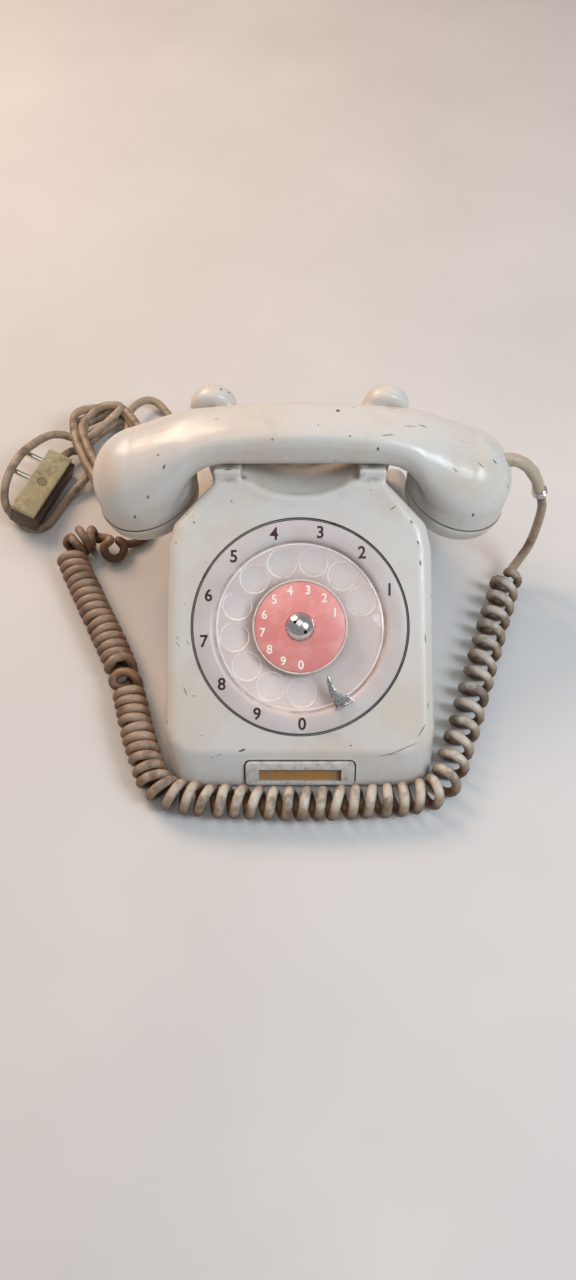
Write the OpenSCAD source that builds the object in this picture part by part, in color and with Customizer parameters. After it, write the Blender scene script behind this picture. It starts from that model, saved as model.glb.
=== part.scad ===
// Rotary desk telephone, as an assembly of separate pieces.
// Millimetres, +Z up, front towards -Y, origin under the middle of the case and handset.

/* [Case] */
// Width of the case at its foot
case_w = 147; // [144:0.5:150]
// Depth of the case from the front lip to the rear wall
case_d = 203; // [201:0.5:208]
// Wall of the case
wall = 2.8; // [2.2:0.1:3.2]
// Radius of the case's outer edges
edge_r = 8; // [7:0.25:9]
// Radius of the front corners, seen from above
corner_r = 17; // [15:0.5:19]
// Height of the rubber feet under the base plate
foot_h = 3; // [2.6:0.1:4]
// Radius of a rubber foot
foot_r = 8; // [6:0.25:9]
// Thickness of the steel base plate
base_t = 1.5; // [1:0.1:2]
// Width of the case at its shoulders
shoulder_w = 143; // [140:0.5:144]
// Width of the neck that carries the cradle
neck_w = 92; // [90:0.2:93]
// Slope of the front face from level, in degrees
face_tilt = 33; // [32:0.25:34]

/* [Dial] */
// Height of the dial's centre on the front face
dial_z = 58; // [57.5:0.25:59]
// Distance of the dial's centre behind the front lip
dial_front = 68; // [67:0.25:69]
// Outer radius of the number ring
ring_r = 58; // [57:0.2:58.6]
// Running gap between the number ring and the case
ring_gap = 0.8; // [0.3:0.05:0.9]
// Radius of the clear finger wheel
wheel_r = 45; // [44.5:0.1:45.3]
// Thickness of the finger wheel
wheel_t = 2.4; // [2:0.1:2.6]
// Radius of a finger hole
finger_r = 7.4; // [7:0.1:7.6]
// Radius of the circle that the finger holes lie on
finger_circle_r = 35.6; // [35.2:0.1:36]
// Radius of the coloured centre disc
disc_r = 24.2; // [23:0.1:25]
// Radius of the domed centre screw
dome_r = 7.8; // [7:0.1:8]
// Radius of the dial shaft
shaft_r = 3; // [2.5:0.1:3.4]
// Tooth size (module) of the dial's gears
gear_m = 0.7; // [0.66:0.01:0.72]

/* [Handset and cradle] */
// How far the handset lies to the right of the middle
hand_x = 1.5; // [0:0.1:1.5]
// Length of the handset from end to end
handset_len = 237; // [235:0.5:240]
// Radius of the screw-on caps and the cups behind them
cup_r = 29.5; // [29:0.1:30]
// Inward tilt of the caps, in degrees
cup_tilt = 15; // [13:0.5:17]
// Depth of the grip from front to back
grip_d = 31.5; // [30.5:0.25:32.5]
// Height of the grip
grip_h = 24.5; // [23.5:0.25:25.5]
// Wall of the handset shell
shell_t = 2.6; // [2.2:0.1:3]
// Height of the cradle's floor
cradle_z = 102.7; // [102.3:0.1:103.5]
// Gap between the resting handset and the cradle
rest_gap = 0.3; // [0.2:0.05:0.6]
// Radius of the rear lobes of the cradle
lobe_r = 13; // [12.5:0.1:13.5]
// Radius of a hook plunger
plunger_r = 3; // [2.6:0.1:3.2]
// Gap round a plunger in its bore
plunger_gap = 0.1; // [0.05:0.01:0.2]

/* [Cords] */
// Diameter of both cords
cord_d = 5.4; // [5:0.1:5.6]
// Outer diameter of the curled part of the handset cord
curl_d = 19.4; // [18:0.1:19.6]
// Radius of the soft sleeve where the cord leaves the handset
sleeve_r = 3.8; // [3.4:0.1:4]
// Height of the coiled line cord
hank_h = 22; // [16:1:26]

/* [Plug] */
// Length of the plug's block
plug_l = 55; // [52:0.5:56]
// Width of the plug's cover
plug_w = 16; // [15:0.5:18]
// Height of the plug's brown base
plug_base_h = 12; // [11:0.5:13]
// Thickness of the plug's cover
plug_cover_t = 3; // [2.5:0.5:4]
// Length of the plug's blades
pin_l = 17; // [14:0.5:19]

/* [Ringer] */
// Radius of a gong
gong_r = 22; // [20:0.25:22.5]
// Height of a gong
gong_h = 13.5; // [12:0.5:15]
// Gap between the hammer and each gong
strike_gap = 1.8; // [1.6:0.1:2.4]

/* [Hidden] */
$fn = 64;
ball_fn = 32;           // facets of the balls inside a hull
far = 300;              // longer than anything that it cuts
fit = 0.05;             // radial clearance of a shaft in its bearing
slip = 0.15;            // gap round a piece laid in a pocket

// Case
front_y = -case_d / 2;
rear_y = case_d / 2;
dial_y = front_y + dial_front;
lip_s = -(dial_front - 2);              // where the face turns into the lip, down the slope
shoulder_s = 42;                        // where the shoulders start to narrow, up the slope
shoulder_round = 10;                    // length of the round part of a shoulder, up the slope
shoulder_in = 2.2;                      // how much narrower the case is at the end of it
face_corner_r = 3;                      // radius of the face's top corners
face_top_s = 80;                        // top edge of the face, up the slope
back_y = 14;                            // centre of the edge behind the shoulders
back_z = 42;
tail_y = rear_y - edge_r;               // centre of the rear bottom edge
tail_top = [tail_y - 3.5, 36];          // centre of the rear top edge
cavity_half = shoulder_w / 2 - wall - 1;        // half the inner width under the face
cavity_step = 16;                       // how much narrower the cavity is beside the front corners
cavity_step_s = [-74, -50];             // where it widens, up the slope
tail_inset = 4;                         // how much narrower the top is at the rear than at the shoulders
tail_half = cavity_half - tail_inset - 2.2;     // half the inner width behind the neck
cavity_rear_y = rear_y - wall - 0.4;
cavity_front_y = front_y + wall + 0.7;
screw_r = 1.5;
screw_seat_d = 12;                      // depth of the screw holes in the bosses
screw_front_x = case_w / 2 - 12;
screw_rear_x = case_w / 2 - 14;
screw_front_y = front_y + 21.5;
screw_rear_y = rear_y - 15.5;
screw_xy = [[-screw_front_x, screw_front_y], [screw_front_x, screw_front_y],
  [-screw_rear_x, screw_rear_y], [screw_rear_x, screw_rear_y]];
boss_r = 4.5;
foot_x = case_w / 2 - 22;
foot_front_y = front_y + 31.5;
foot_rear_y = rear_y - 35.5;
foot_xy = [[-foot_x, foot_front_y], [foot_x, foot_front_y], [-foot_x, foot_rear_y], [foot_x, foot_rear_y]];
foot_stem_r = 3;
plate_gap = 0.4;                        // gap between the base plate and the case
base_z = foot_h + base_t;               // top of the base plate

// Face frame: s runs up the slope, h stands off the face
function face(s, h) = [dial_y + s * cos(face_tilt) - h * sin(face_tilt),
                       dial_z + s * sin(face_tilt) + h * cos(face_tilt)];

// Label on the lip
label_w = 59;
label_h = 13.6;
label_drop = 3.2;                       // how far the label sits below the middle of the lip
label_proud = 1;
label_deep = 1.2;
label_wall_x = 7.2;
label_top = 4.4;                        // wall of the frame above the window
label_foot = 1.8;                       // wall of the frame below the window
card_t = 0.5;
lip_low = [front_y + edge_r, foot_h];
lip_high = face(lip_s, -edge_r);
lip_tilt = atan2(lip_high[1] - lip_low[1], lip_high[0] - lip_low[0]);

// Dial stack, heights off the face
seat_h = -2.4;                          // underside of the case round the dial
ring_top_h = 0.6;
wheel_h = -1.4;                         // underside of the finger wheel
wheel_top_h = wheel_h + wheel_t;
dish_h = -4.4;                          // floor of the number ring's dish
dish_t = 1.2;
plate_t = 1.5;
pan_h = dish_h - dish_t - 0.2;          // top of the dial plate's pan
pan_r = wheel_r + 2.1;
flange_r = ring_r + 5.4;
dial_screw_circle = ring_r + 3.2;
dial_screw_angles = [30, 150, 270];
dial_screw_r = 0.9;
bridge_h = -30;
hub_r = 9;
rim_w = 1.2;
disc_t = 0.8;
first_hole = 23;                        // angle of the hole for digit 1
hole_step = 27.6;
stop_angle = -60;
stop_t = 1.2;
stop_r = wheel_r + 2.8;                 // inner side of the finger stop's leg

// Gear train
main_teeth = 48;
pinion_teeth = 16;
train_teeth = 45;
governor_teeth = 15;
main_h = -12;
main_t = 1.5;
train_h = -16;
train_t = 1.6;
cam_h = -19;
arbor_r = 1.5;
train_xy = [0, gear_m * (main_teeth + pinion_teeth) / 2];
governor_dir = -30;
governor_xy = train_xy + gear_m * (train_teeth + governor_teeth) / 2 * [cos(governor_dir), sin(governor_dir)];
drum_r = 11.6;
drum_t = 1;
spring_in = shaft_r + 0.2;
post_spots = [[-28.6, 16.5], [0, -30], [33.5, -6]];
post_r = 2.5;

// Handset
hand_y = 53.5;                          // middle of the grip, front to back
grip_z = cradle_z + rest_gap;           // underside of the grip
grip_half = 54;                         // half the straight part of the grip
arch = 4.3;                             // rise of the grip's top in the middle
top_round = 5;
low_round = 8;
cup_x = handset_len / 2 - cup_r;
dome_z = grip_z - 24;
seam_z = grip_z - 34;
cap_h = 14;
cap_t = 2.6;
thread_gap = 0.3;
thread_l = 4;
capsule_r = cup_r - 7.5;
receiver_rim_h = 9;
receiver_back_r = 12;
receiver_h = 14;
transmitter_rim_h = 6;
transmitter_back_r = 16;
transmitter_h = 11;
exit_z = dome_z + 15.5;                 // height of the cord's way out of the cup

// Cradle
horn_x = 32;                            // inner side of the two saddles
lobe_x = 48;
lobe_front_y = hand_y + grip_d / 2 + 6;
lobe_t = 13;
lobe_z = cradle_z + 4.8;
saddle_rear_y = hand_y + grip_d / 2 + 0.5;
scoop_r = 60;
scoop_tilt = 20;
scoop_deep = 6;                         // how far the scoop's floor lies below the top of the face
neck_rear_y = 86;
neck_ceiling = 80;                      // inner ceiling under the cradle
plunger_x = 37.5;
plunger_low = 73.6;                     // foot of a resting plunger
plunger_flange_r = plunger_r + 1;
lever_y = 80;
lever_z = 70;
lever_t = 2;

// Ringer
gong_rear_gap = 2.3;                    // room between a gong and the rear wall
ring_y = cavity_rear_y - gong_rear_gap - gong_r;
hammer_r = 4.2;
gong_x = gong_r + hammer_r + strike_gap;
gong_z = 12;
gong_t = 1.5;
clapper_y = ring_y - 20;
coil_x = 9;
coil_r = 6.3;

// Board
board_y = clapper_y - 23;
board_w = 64;
board_d = 32;
board_z = 9;
board_t = 1.6;

// Cord routes, chosen by hand
ferrule_from = [138, hand_y, 70];
ferrule_dir = [0.4, 0, -0.9];           // the way the cord runs through the ferrule
ferrule_to = ferrule_from + 4.4 * ferrule_dir;
sleeve_route = [[112, hand_y, exit_z], [117.5, hand_y, exit_z], [122.5, hand_y, 93], [128.5, hand_y, 88],
  [134.5, hand_y, 79], ferrule_from];
lead_route = [ferrule_to, [143, 53, 55], [143, 51, 40], [141, 48, 26], [136, 44, 15], [131, 39, 10]];
curl_z = 10;
curl_plan = [[131, 39], [122, 16], [105, -32], [88, -80], [76, -105], [56, -112], [28, -114], [0, -115],
  [-28, -114], [-56, -112], [-76, -105], [-88, -80], [-103, -32], [-127, 18], [-142, 50], [-139, 62],
  [-128, 69], [-117, 63]];
curl_route = [for (p = curl_plan) [p[0], p[1], curl_z]];
curl_first = curl_route[1] - curl_route[0];
curl_final = curl_route[len(curl_route) - 1] - curl_route[len(curl_route) - 2];
gland_z = 9;
gland_out_y = rear_y + 2.5;
hand_gland_x = -45;
line_gland_x = 0;
tail_route = [[-117, 63, curl_z], [-108, 61, 7], [-99, 69, 4], [-92, 89, 3], [-82, 106, 3],
  [-66, 116, 4], [-50, 115, 7], [hand_gland_x, gland_out_y, gland_z]];
line_route = [[line_gland_x, gland_out_y, gland_z], [-3, 117, 6], [-26, 132, 3.5], [-62, 139, 3.5],
  [-97, 141, 7]];
hank_plan = [[-131, 156], [-115, 121]];
hank_r = 27;
plug_at = [-168.4, 104.1, 11.5];        // middle of the plug's base
plug_turn = 72.7;
plug_pitch = 5;                         // its lower end lies on the cord
plug_roll = 18;                         // its right edge is the lower one
plug_step = 2.5;                        // how far the base reaches out beside the cover
plug_way = [cos(plug_turn) * cos(plug_pitch), sin(plug_turn) * cos(plug_pitch), -sin(plug_pitch)];
plug_end = plug_at + plug_l / 2 * plug_way;     // where the cord leaves it
plug_pins_at = [5, 23];                 // places of the blades along the plug
plug_lead_route = [plug_end, [-158.3, 136.5, 8.8], [-153.5, 142.3, 8], [-146.5, 145, 8]];
loop_route = [[-138, 121, 9], [-141.4, 117.2, 8], [-147.3, 110.7, 6], [-152.5, 104.6, 4.5],
  [-157.2, 95.3, 3.2], [-160.8, 87.2, 2.8], [-164.6, 81.6, 2.75], [-170.2, 79.3, 2.75], [-176.9, 81, 3.2],
  [-183.1, 84.7, 6], [-187.6, 88.4, 9.8], [-190, 93.8, 14], [-189.6, 101, 19], [-187.6, 109.4, 22],
  [-184.7, 118.6, 22.9], [-180.8, 127.5, 22.9], [-175.6, 135.3, 22], [-170.4, 141.6, 21],
  [-164.7, 145.8, 20], [-158.3, 147.6, 18], [-151, 146.3, 16], [-146, 144, 14]];
// ---------------------------------------------------------------- helpers

module at_dial() translate([0, dial_y, dial_z]) rotate([face_tilt, 0, 0]) children();

module at_lip() translate([0, (lip_low[0] + lip_high[0]) / 2 - edge_r * sin(lip_tilt),
    (lip_low[1] + lip_high[1]) / 2 + edge_r * cos(lip_tilt)]) rotate([lip_tilt, 0, 0])
    translate([0, -label_drop, 0]) children();

// Seam plane of a cup: local +Z points up the handset, side is 1 on the right and -1 on the left
module at_cup(side) translate([hand_x + side * cup_x, hand_y, seam_z])
  rotate([0, side * cup_tilt, 0]) children();

module ball(y, z, x, r) translate([x, y, z]) sphere(r = r, $fn = ball_fn);

module balls(yz, x, r) for (side = [-1, 1]) ball(yz[0], yz[1], side * x, r);

module ring(outer, inner, h) difference() {
  cylinder(r = outer, h = h);
  translate([0, 0, -1]) cylinder(r = inner, h = h + 2);
}

// A profile in Y and Z, drawn out along X about the middle
module across(half) rotate([90, 0, 90]) linear_extrude(2 * half, center = true) children();

function blend(a, b, c, d, t) = 0.5 * ((2 * b) + (c - a) * t + (2 * a - 5 * b + 4 * c - d) * t * t
  + (3 * b - a - 3 * c + d) * t * t * t);

// Smooth curve through the points of a route, with n steps between two points
function smooth(route, n) = let (last = len(route) - 1) [
  for (i = [0:last - 1]) for (k = [0:n - 1]) blend(route[max(i - 1, 0)], route[i], route[i + 1],
    route[min(i + 2, last)], k / n), route[last]];

function unit(v) = v / norm(v);

// Swept tube with flat ends, one ring of corners at each point of the path.
// The end faces look along first and final, where those are given.
module tube(path, r, sides, ref, first = undef, final = undef) {
  last = len(path) - 1;
  rings = [for (i = [0:last]) let (
      along = i == 0 && first != undef ? unit(first) : i == last && final != undef ? unit(final)
        : unit(path[min(i + 1, last)] - path[max(i - 1, 0)]),
      u = unit(cross(along, ref)),
      v = cross(along, u))
    [for (k = [0:sides - 1]) path[i] + r * (cos(360 * k / sides) * u + sin(360 * k / sides) * v)]];
  polyhedron(
    points = [for (corners = rings) each corners],
    faces = concat(
      [[for (k = [0:sides - 1]) k]],
      [for (i = [0:last - 1]) for (k = [0:sides - 1]) let (a = i * sides + k,
        b = i * sides + (k + 1) % sides) [a, a + sides, b + sides, b]],
      [[for (k = [0:sides - 1]) last * sides + sides - 1 - k]]));
}

// Spur gear blank with straight-flanked teeth; a tooth lies on +X
module gear_shape(teeth) {
  pitch_r = gear_m * teeth / 2;
  root_r = pitch_r - 1.25 * gear_m;
  tip_r = pitch_r + 0.8 * gear_m;
  step = 360 / teeth;
  polygon([for (i = [0:teeth - 1]) for (p = [[root_r, -0.25], [pitch_r, -0.19], [tip_r, -0.1],
    [tip_r, 0.1], [pitch_r, 0.19], [root_r, 0.25]]) p[0] * [cos((i + p[1]) * step), sin((i + p[1]) * step)]]);
}

module gear(teeth, t, bore) linear_extrude(t) difference() {
  gear_shape(teeth);
  circle(r = bore);
}

// ---------------------------------------------------------------- case

// Balls round a front corner, on an arc seen from above that climbs at a slope
module corner_balls(yz, x, slope) for (a = [0, 30, 60, 90]) let (c = corner_r - edge_r, back = c - c * sin(a))
  balls([yz[0] + back, yz[1] + back * tan(slope)], x - c + c * cos(a), edge_r);

module case_form() {
  low_x = case_w / 2 - edge_r;
  high_x = shoulder_w / 2 - edge_r;
  top_x = neck_w / 2 - edge_r;
  hull() {
    corner_balls(lip_low, low_x, 0);
    corner_balls(lip_high, low_x, face_tilt);
    balls(face(shoulder_s, -edge_r), high_x, edge_r);
    balls(face(shoulder_s + shoulder_round, -edge_r), high_x - shoulder_in, edge_r);
    balls(face(face_top_s - face_corner_r, -face_corner_r), neck_w / 2 - face_corner_r, face_corner_r);
    balls(face(face_top_s - edge_r, -edge_r), top_x, edge_r);
    balls([back_y, back_z], high_x, edge_r);
    balls([back_y, foot_h], low_x, edge_r);
  }
  hull() {
    balls([0, foot_h], low_x, edge_r);
    balls([0, back_z], high_x, edge_r);
    balls([tail_y, foot_h], low_x, edge_r);
    balls(tail_top, high_x - tail_inset, edge_r);
  }
  hull() {
    balls(face(face_top_s - edge_r, -edge_r), top_x, edge_r);
    balls([back_y + 8, back_z - 8], top_x, edge_r);
    balls([neck_rear_y - edge_r + 2, cradle_z - edge_r - 1], top_x, edge_r);
    balls([neck_rear_y - edge_r + 6, back_z - 8], top_x, edge_r);
  }
}

// Outline of the case from above, drawn in by inset
module plan(inset) {
  translate([inset - case_w / 2, front_y + corner_r]) square([case_w - 2 * inset, case_d - corner_r - edge_r]);
  translate([corner_r - case_w / 2, front_y + inset]) square([case_w - 2 * corner_r, case_d / 2]);
  translate([edge_r - case_w / 2, 0]) square([case_w - 2 * edge_r, rear_y - inset]);
  for (side = [-1, 1]) {
    translate([side * (case_w / 2 - corner_r), front_y + corner_r]) circle(r = corner_r - inset);
    translate([side * (case_w / 2 - edge_r), rear_y - edge_r]) circle(r = edge_r - inset);
  }
}

// Outline of the base plate, drawn in by inset
module plate_plan(inset) intersection() {
  plan(wall + plate_gap + inset);
  translate([-cavity_half + inset, cavity_front_y + inset])
    square([2 * (cavity_half - inset), cavity_rear_y - cavity_front_y - 2 * inset]);
}

// Inside of the case: under the face, in the low rear part, and up in the neck
module case_cavity() {
  intersection() {
    translate([0, 0, -far]) linear_extrude(2 * far) plan(wall + 0.4);
    across(far) polygon([[cavity_front_y, 0], [cavity_front_y, base_z + plate_gap], face(lip_s, -wall),
      face(face_top_s - 20, -wall), [back_y + 4.5, face(face_top_s - 26, 0)[1] - 6], [back_y + 4.5, 0]]);
    at_dial() linear_extrude(far, center = true) {
      polygon([[-cavity_half, cavity_step_s[1]], [-cavity_half, shoulder_s], [-neck_w / 2 + wall, face_top_s - 8],
        [neck_w / 2 - wall, face_top_s - 8], [cavity_half, shoulder_s], [cavity_half, cavity_step_s[1]],
        [cavity_half - cavity_step, cavity_step_s[0]], [cavity_half - cavity_step, -far],
        [cavity_step - cavity_half, -far], [cavity_step - cavity_half, cavity_step_s[0]]]);
    }
  }
  translate([0, 0, -far]) linear_extrude(far + base_z + plate_gap) plate_plan(plate_gap / 4);
  across(tail_half) polygon([[0, 0], [cavity_rear_y, 0], [cavity_rear_y - 3, tail_top[1]],
    [tail_top[0] - 2, tail_top[1] + edge_r - wall], [back_y, back_z + edge_r - wall],
    [0, back_z + edge_r - wall]]);
  across(neck_w / 2 - wall - 1) polygon([[back_y + 4, 30], [back_y + 9, neck_ceiling],
    [lever_y + 5, neck_ceiling], [lever_y + 7, 30]]);
}

// Two saddles that the grip lies on, with a low horn in front and a step behind
module saddles() {
  front = face(face_top_s, 0);
  for (side = [-1, 1]) translate([side * (horn_x + neck_w / 2) / 2, 0, 0])
    across((neck_w / 2 - horn_x) / 2) polygon([[front[0] - 4, cradle_z - 10], [front[0] - 0.4, front[1] - 0.6],
      [front[0] + 0.8, cradle_z + 2], [front[0] + 2.6, cradle_z + 2.8], [front[0] + 4.2, cradle_z + 1.8],
      [front[0] + 6.4, cradle_z], [hand_y + grip_d / 2 - 2, cradle_z], [saddle_rear_y, cradle_z + 5],
      [saddle_rear_y, cradle_z + 9], [lobe_front_y + 1, cradle_z + 11], [lobe_front_y + 4, cradle_z - 10]]);
}

// Rear lobes, round paddles on a stem that joins the neck
module lobes() for (side = [-1, 1]) translate([side * lobe_x, lobe_front_y, lobe_z]) {
  rotate([-90, 0, 0]) rotate_extrude() polygon([[0, 0], [lobe_r - 4, 0], [lobe_r - 1.2, 1.2], [lobe_r, 4],
    [lobe_r, lobe_t - 4.5], [lobe_r - 1.4, lobe_t - 1.4], [lobe_r - 4.5, lobe_t], [0, lobe_t]]);
  translate([0, 1.5, 0]) rotate([-90, 0, 0]) linear_extrude(lobe_t - 3) polygon([[-side * lobe_r * 0.98, 0],
    [side * lobe_r * 0.98, 0], [side * (lobe_r - 10), 62], [-side * (lobe_r + 2), 62]]);
}

module case_shell() color("antiquewhite") difference() {
  union() {
    difference() {
      union() {
        case_form();
        lobes();
      }
      case_cavity();
      translate([0, 0, foot_h - far]) cube([2 * far, 2 * far, 2 * far], center = true);
    }
    intersection() {
      case_form();
      for (p = screw_xy) translate([p[0], p[1], base_z]) cylinder(r = boss_r, h = 60);
    }
    saddles();
  }
  // finger scoop between the saddles
  intersection() {
    translate([0, face(face_top_s, 0)[0] - 8, face(face_top_s, 0)[1] - scoop_deep]) rotate([-90 - scoop_tilt, 0, 0])
      translate([0, -scoop_r, 0]) cylinder(r = scoop_r, h = 45, $fn = 128);
    across(horn_x) polygon([[0, neck_ceiling + 4], [saddle_rear_y, neck_ceiling + 4],
      [saddle_rear_y, far], [0, far]]);
  }
  at_dial() {
    translate([0, 0, seat_h - 9.6]) cylinder(r = flange_r + 0.3, h = 9.6);
    translate([0, 0, seat_h - 1]) cylinder(r = ring_r + ring_gap, h = 20);
    for (a = dial_screw_angles) rotate(a) translate([dial_screw_circle, 0, seat_h - 1])
      cylinder(r = dial_screw_r + fit, h = 2.6);
  }
  at_lip() translate([0, 0, 5 - label_deep]) cube([label_w + 2 * slip, label_h + 2 * slip, 10], center = true);
  for (p = screw_xy) translate([p[0], p[1], 0]) cylinder(r = screw_r + fit, h = base_z + screw_seat_d);
  for (side = [-1, 1]) translate([side * plunger_x, hand_y, neck_ceiling - 1])
    cylinder(r = plunger_r + plunger_gap, h = 30);
  for (x = [hand_gland_x, line_gland_x]) translate([x, rear_y - 12, gland_z]) rotate([-90, 0, 0])
    cylinder(r = cord_d / 2 + 1.3, h = 20);
}

module base_plate() color("silver") difference() {
  translate([0, 0, foot_h]) linear_extrude(base_t) plate_plan(plate_gap);
  for (p = screw_xy) translate([p[0], p[1], 0]) cylinder(r = screw_r + 0.2, h = far);
  for (p = foot_xy) translate([p[0], p[1], 0]) cylinder(r = foot_stem_r + fit, h = far);
}

module rubber_feet() color("dimgray") for (p = foot_xy) translate([p[0], p[1], 0]) {
  cylinder(r = foot_r, h = foot_h);
  cylinder(r = foot_stem_r, h = base_z + 0.4);
}

module case_screws() color("darkgray") for (p = screw_xy) translate([p[0], p[1], foot_h]) {
  translate([0, 0, -1.8]) cylinder(r = 2 * screw_r, h = 1.8);
  cylinder(r = screw_r, h = base_t + screw_seat_d - 1);
}

module label_frame() color("gainsboro") at_lip() difference() {
  translate([0, 0, (label_proud - label_deep) / 2])
    cube([label_w, label_h, label_proud + label_deep], center = true);
  in_window(0) cube([label_w - 2 * label_wall_x, label_h - label_top - label_foot, 10], center = true);
}

// Middle of the window in the label's frame, at a height off the frame's middle
module in_window(z) translate([0, (label_foot - label_top) / 2, z]) children();

// Leaf that fills the window's hole
module window_leaf() cube([label_w - 2 * label_wall_x - 2 * slip,
  label_h - label_top - label_foot - 2 * slip, card_t], center = true);

module label_card() color("goldenrod") at_lip() in_window(card_t / 2 - label_deep) window_leaf();

module label_window() color("lightyellow", 0.5) at_lip() in_window(card_t * 1.5 - label_deep) window_leaf();

// ---------------------------------------------------------------- dial

module number_ring() color("mistyrose") at_dial() difference() {
  rotate_extrude($fn = 128) polygon([[ring_r, seat_h], [ring_r, ring_top_h - 0.4], [ring_r - 0.4, ring_top_h],
    [wheel_r + 2.4, ring_top_h], [wheel_r + 1, wheel_h - 0.4], [wheel_r + 0.8, dish_h], [hub_r + 1, dish_h],
    [hub_r + 1, dish_h - dish_t], [pan_r - 0.4, dish_h - dish_t], [pan_r - 0.4, seat_h]]);
  rotate(stop_angle) translate([stop_r + stop_t / 2, 0, 0])
    cube([stop_t + 2 * slip, 10 + 2 * slip, 20], center = true);
}

// Steel pan that the number ring lies in and that carries the movement
module dial_plate() color("silver") at_dial() difference() {
  rotate_extrude($fn = 128) polygon([[flange_r, seat_h], [pan_r, seat_h], [pan_r, pan_h], [shaft_r + fit, pan_h],
    [shaft_r + fit, pan_h - plate_t], [pan_r + plate_t, pan_h - plate_t], [pan_r + plate_t, seat_h - plate_t],
    [flange_r, seat_h - plate_t]]);
  for (a = dial_screw_angles) rotate(a) translate([dial_screw_circle, 0, seat_h - 5])
    cylinder(r = dial_screw_r + fit, h = 10);
  for (p = [train_xy, governor_xy]) translate([p[0], p[1], pan_h - 5]) cylinder(r = arbor_r + fit, h = 10);
}

module dial_screws() color("darkgray") at_dial() for (a = dial_screw_angles) rotate(a)
  translate([dial_screw_circle, 0, seat_h - plate_t]) {
    cylinder(r = dial_screw_r, h = plate_t + 1.5);
    translate([0, 0, -1.2]) cylinder(r = 1.8, h = 1.2);
  }

module finger_stop() color("lightgray") at_dial() rotate(stop_angle) {
  translate([0, 0, wheel_top_h + 0.6]) linear_extrude(stop_t) polygon([[30, 0.2], [33, -0.2], [38, -0.4],
    [41, 0.8], [43.5, 3], [stop_r, 5], [stop_r + stop_t, 5], [stop_r + stop_t, -5], [44, -4.8], [39, -4.2],
    [35, -3.2], [31, -1.4]]);
  translate([stop_r, -5, seat_h]) cube([stop_t, 10, wheel_top_h + 0.6 - seat_h + stop_t]);
}

module finger_wheel() color("white", 0.4) at_dial() translate([0, 0, wheel_h])
linear_extrude(wheel_t) difference() {
  circle(r = wheel_r, $fn = 128);
  circle(r = shaft_r + fit);
  for (i = [0:9]) rotate(first_hole + i * hole_step) translate([finger_circle_r, 0]) circle(r = finger_r);
}

module centre_disc() color("salmon") at_dial() translate([0, 0, wheel_top_h])
  ring(disc_r, shaft_r + fit, disc_t);

module disc_rim() color("linen") at_dial() translate([0, 0, wheel_top_h])
  ring(disc_r + slip + rim_w, disc_r + slip, disc_t + 0.4);

module centre_screw() color("lightgray") at_dial() translate([0, 0, wheel_top_h + disc_t]) difference() {
  union() {
    rotate_extrude() intersection() {
      translate([0, 4.2 - dome_r * 1.16]) circle(r = dome_r * 1.16, $fn = 96);
      square([dome_r, 5]);
    }
    translate([0, 0, -7]) cylinder(r = shaft_r / 2, h = 7.5);
  }
  for (side = [-1, 1]) rotate(-45) translate([side * dome_r / 2, 0, 1.6]) cylinder(r = 0.95, h = 9);
}

module dial_shaft() color("silver") at_dial() difference() {
  union() {
    translate([0, 0, bridge_h - 0.5]) cylinder(r = shaft_r, h = wheel_top_h + disc_t - bridge_h + 0.5);
    translate([0, 0, wheel_h - 2.2]) cylinder(r = hub_r, h = 2.2);
  }
  translate([0, 0, wheel_top_h + disc_t - 8]) cylinder(r = shaft_r / 2 + fit, h = 9);
}

module main_gear() color("goldenrod") at_dial() translate([0, 0, main_h]) {
  gear(main_teeth, main_t, shaft_r + fit);
  translate([0, 0, main_t]) ring(shaft_r + 2.5, shaft_r + fit, 1.5);
}

module impulse_cam() color("tan") at_dial() translate([0, 0, cam_h]) linear_extrude(1.5) difference() {
  circle(r = 6.6);
  circle(r = shaft_r + fit);
  for (i = [0:9]) rotate(150 + i * 21) translate([7.6, 0]) circle(r = 1.4);
}

// Flat coiled spring round the shaft
module mainspring() color("steelblue") at_dial() translate([0, 0, -27]) linear_extrude(6) polygon(concat(
  [for (a = [0:15:1620]) (spring_in + a / 1620 * 6.5) * [cos(a), sin(a)]],
  [for (a = [1620:-15:0]) (spring_in + 0.45 + a / 1620 * 6.5) * [cos(a), sin(a)]]));

// Wheel and pinion on one arbor, between the shaft and the governor
module train_gear() color("goldenrod") at_dial() translate(train_xy) {
  translate([0, 0, main_h - 0.5]) rotate(180 / pinion_teeth + 90) gear(pinion_teeth, main_t + 1, arbor_r - 0.5);
  translate([0, 0, train_h]) rotate(governor_dir) gear(train_teeth, train_t, arbor_r - 0.5);
  translate([0, 0, train_h + train_t]) cylinder(r = 3.5, h = main_h - 0.5 - train_h - train_t);
  translate([0, 0, bridge_h + 0.3]) cylinder(r = arbor_r, h = pan_h - 0.3 - bridge_h - 0.3);
}

module governor_shaft() color("silver") at_dial() translate(governor_xy) {
  translate([0, 0, train_h - 0.2]) rotate(governor_dir + 180 + 180 / governor_teeth)
    gear(governor_teeth, train_t + 0.4, arbor_r - 0.5);
  translate([0, 0, bridge_h + 0.3]) cylinder(r = arbor_r, h = pan_h - 0.3 - bridge_h - 0.3);
}

module governor_weights() color("peru") at_dial() translate([governor_xy[0], governor_xy[1], -26]) {
  ring(3, arbor_r + fit, 3);
  for (side = [0, 180]) rotate(side) {
    translate([2.4, -0.5, 0.8]) cube([5, 1, 1.4]);
    linear_extrude(3) intersection() {
      difference() {
        circle(r = drum_r - drum_t - 1.2);
        circle(r = 6.4);
      }
      polygon([[0, 0], [14, -9], [14, 9]]);
    }
  }
}

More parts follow.
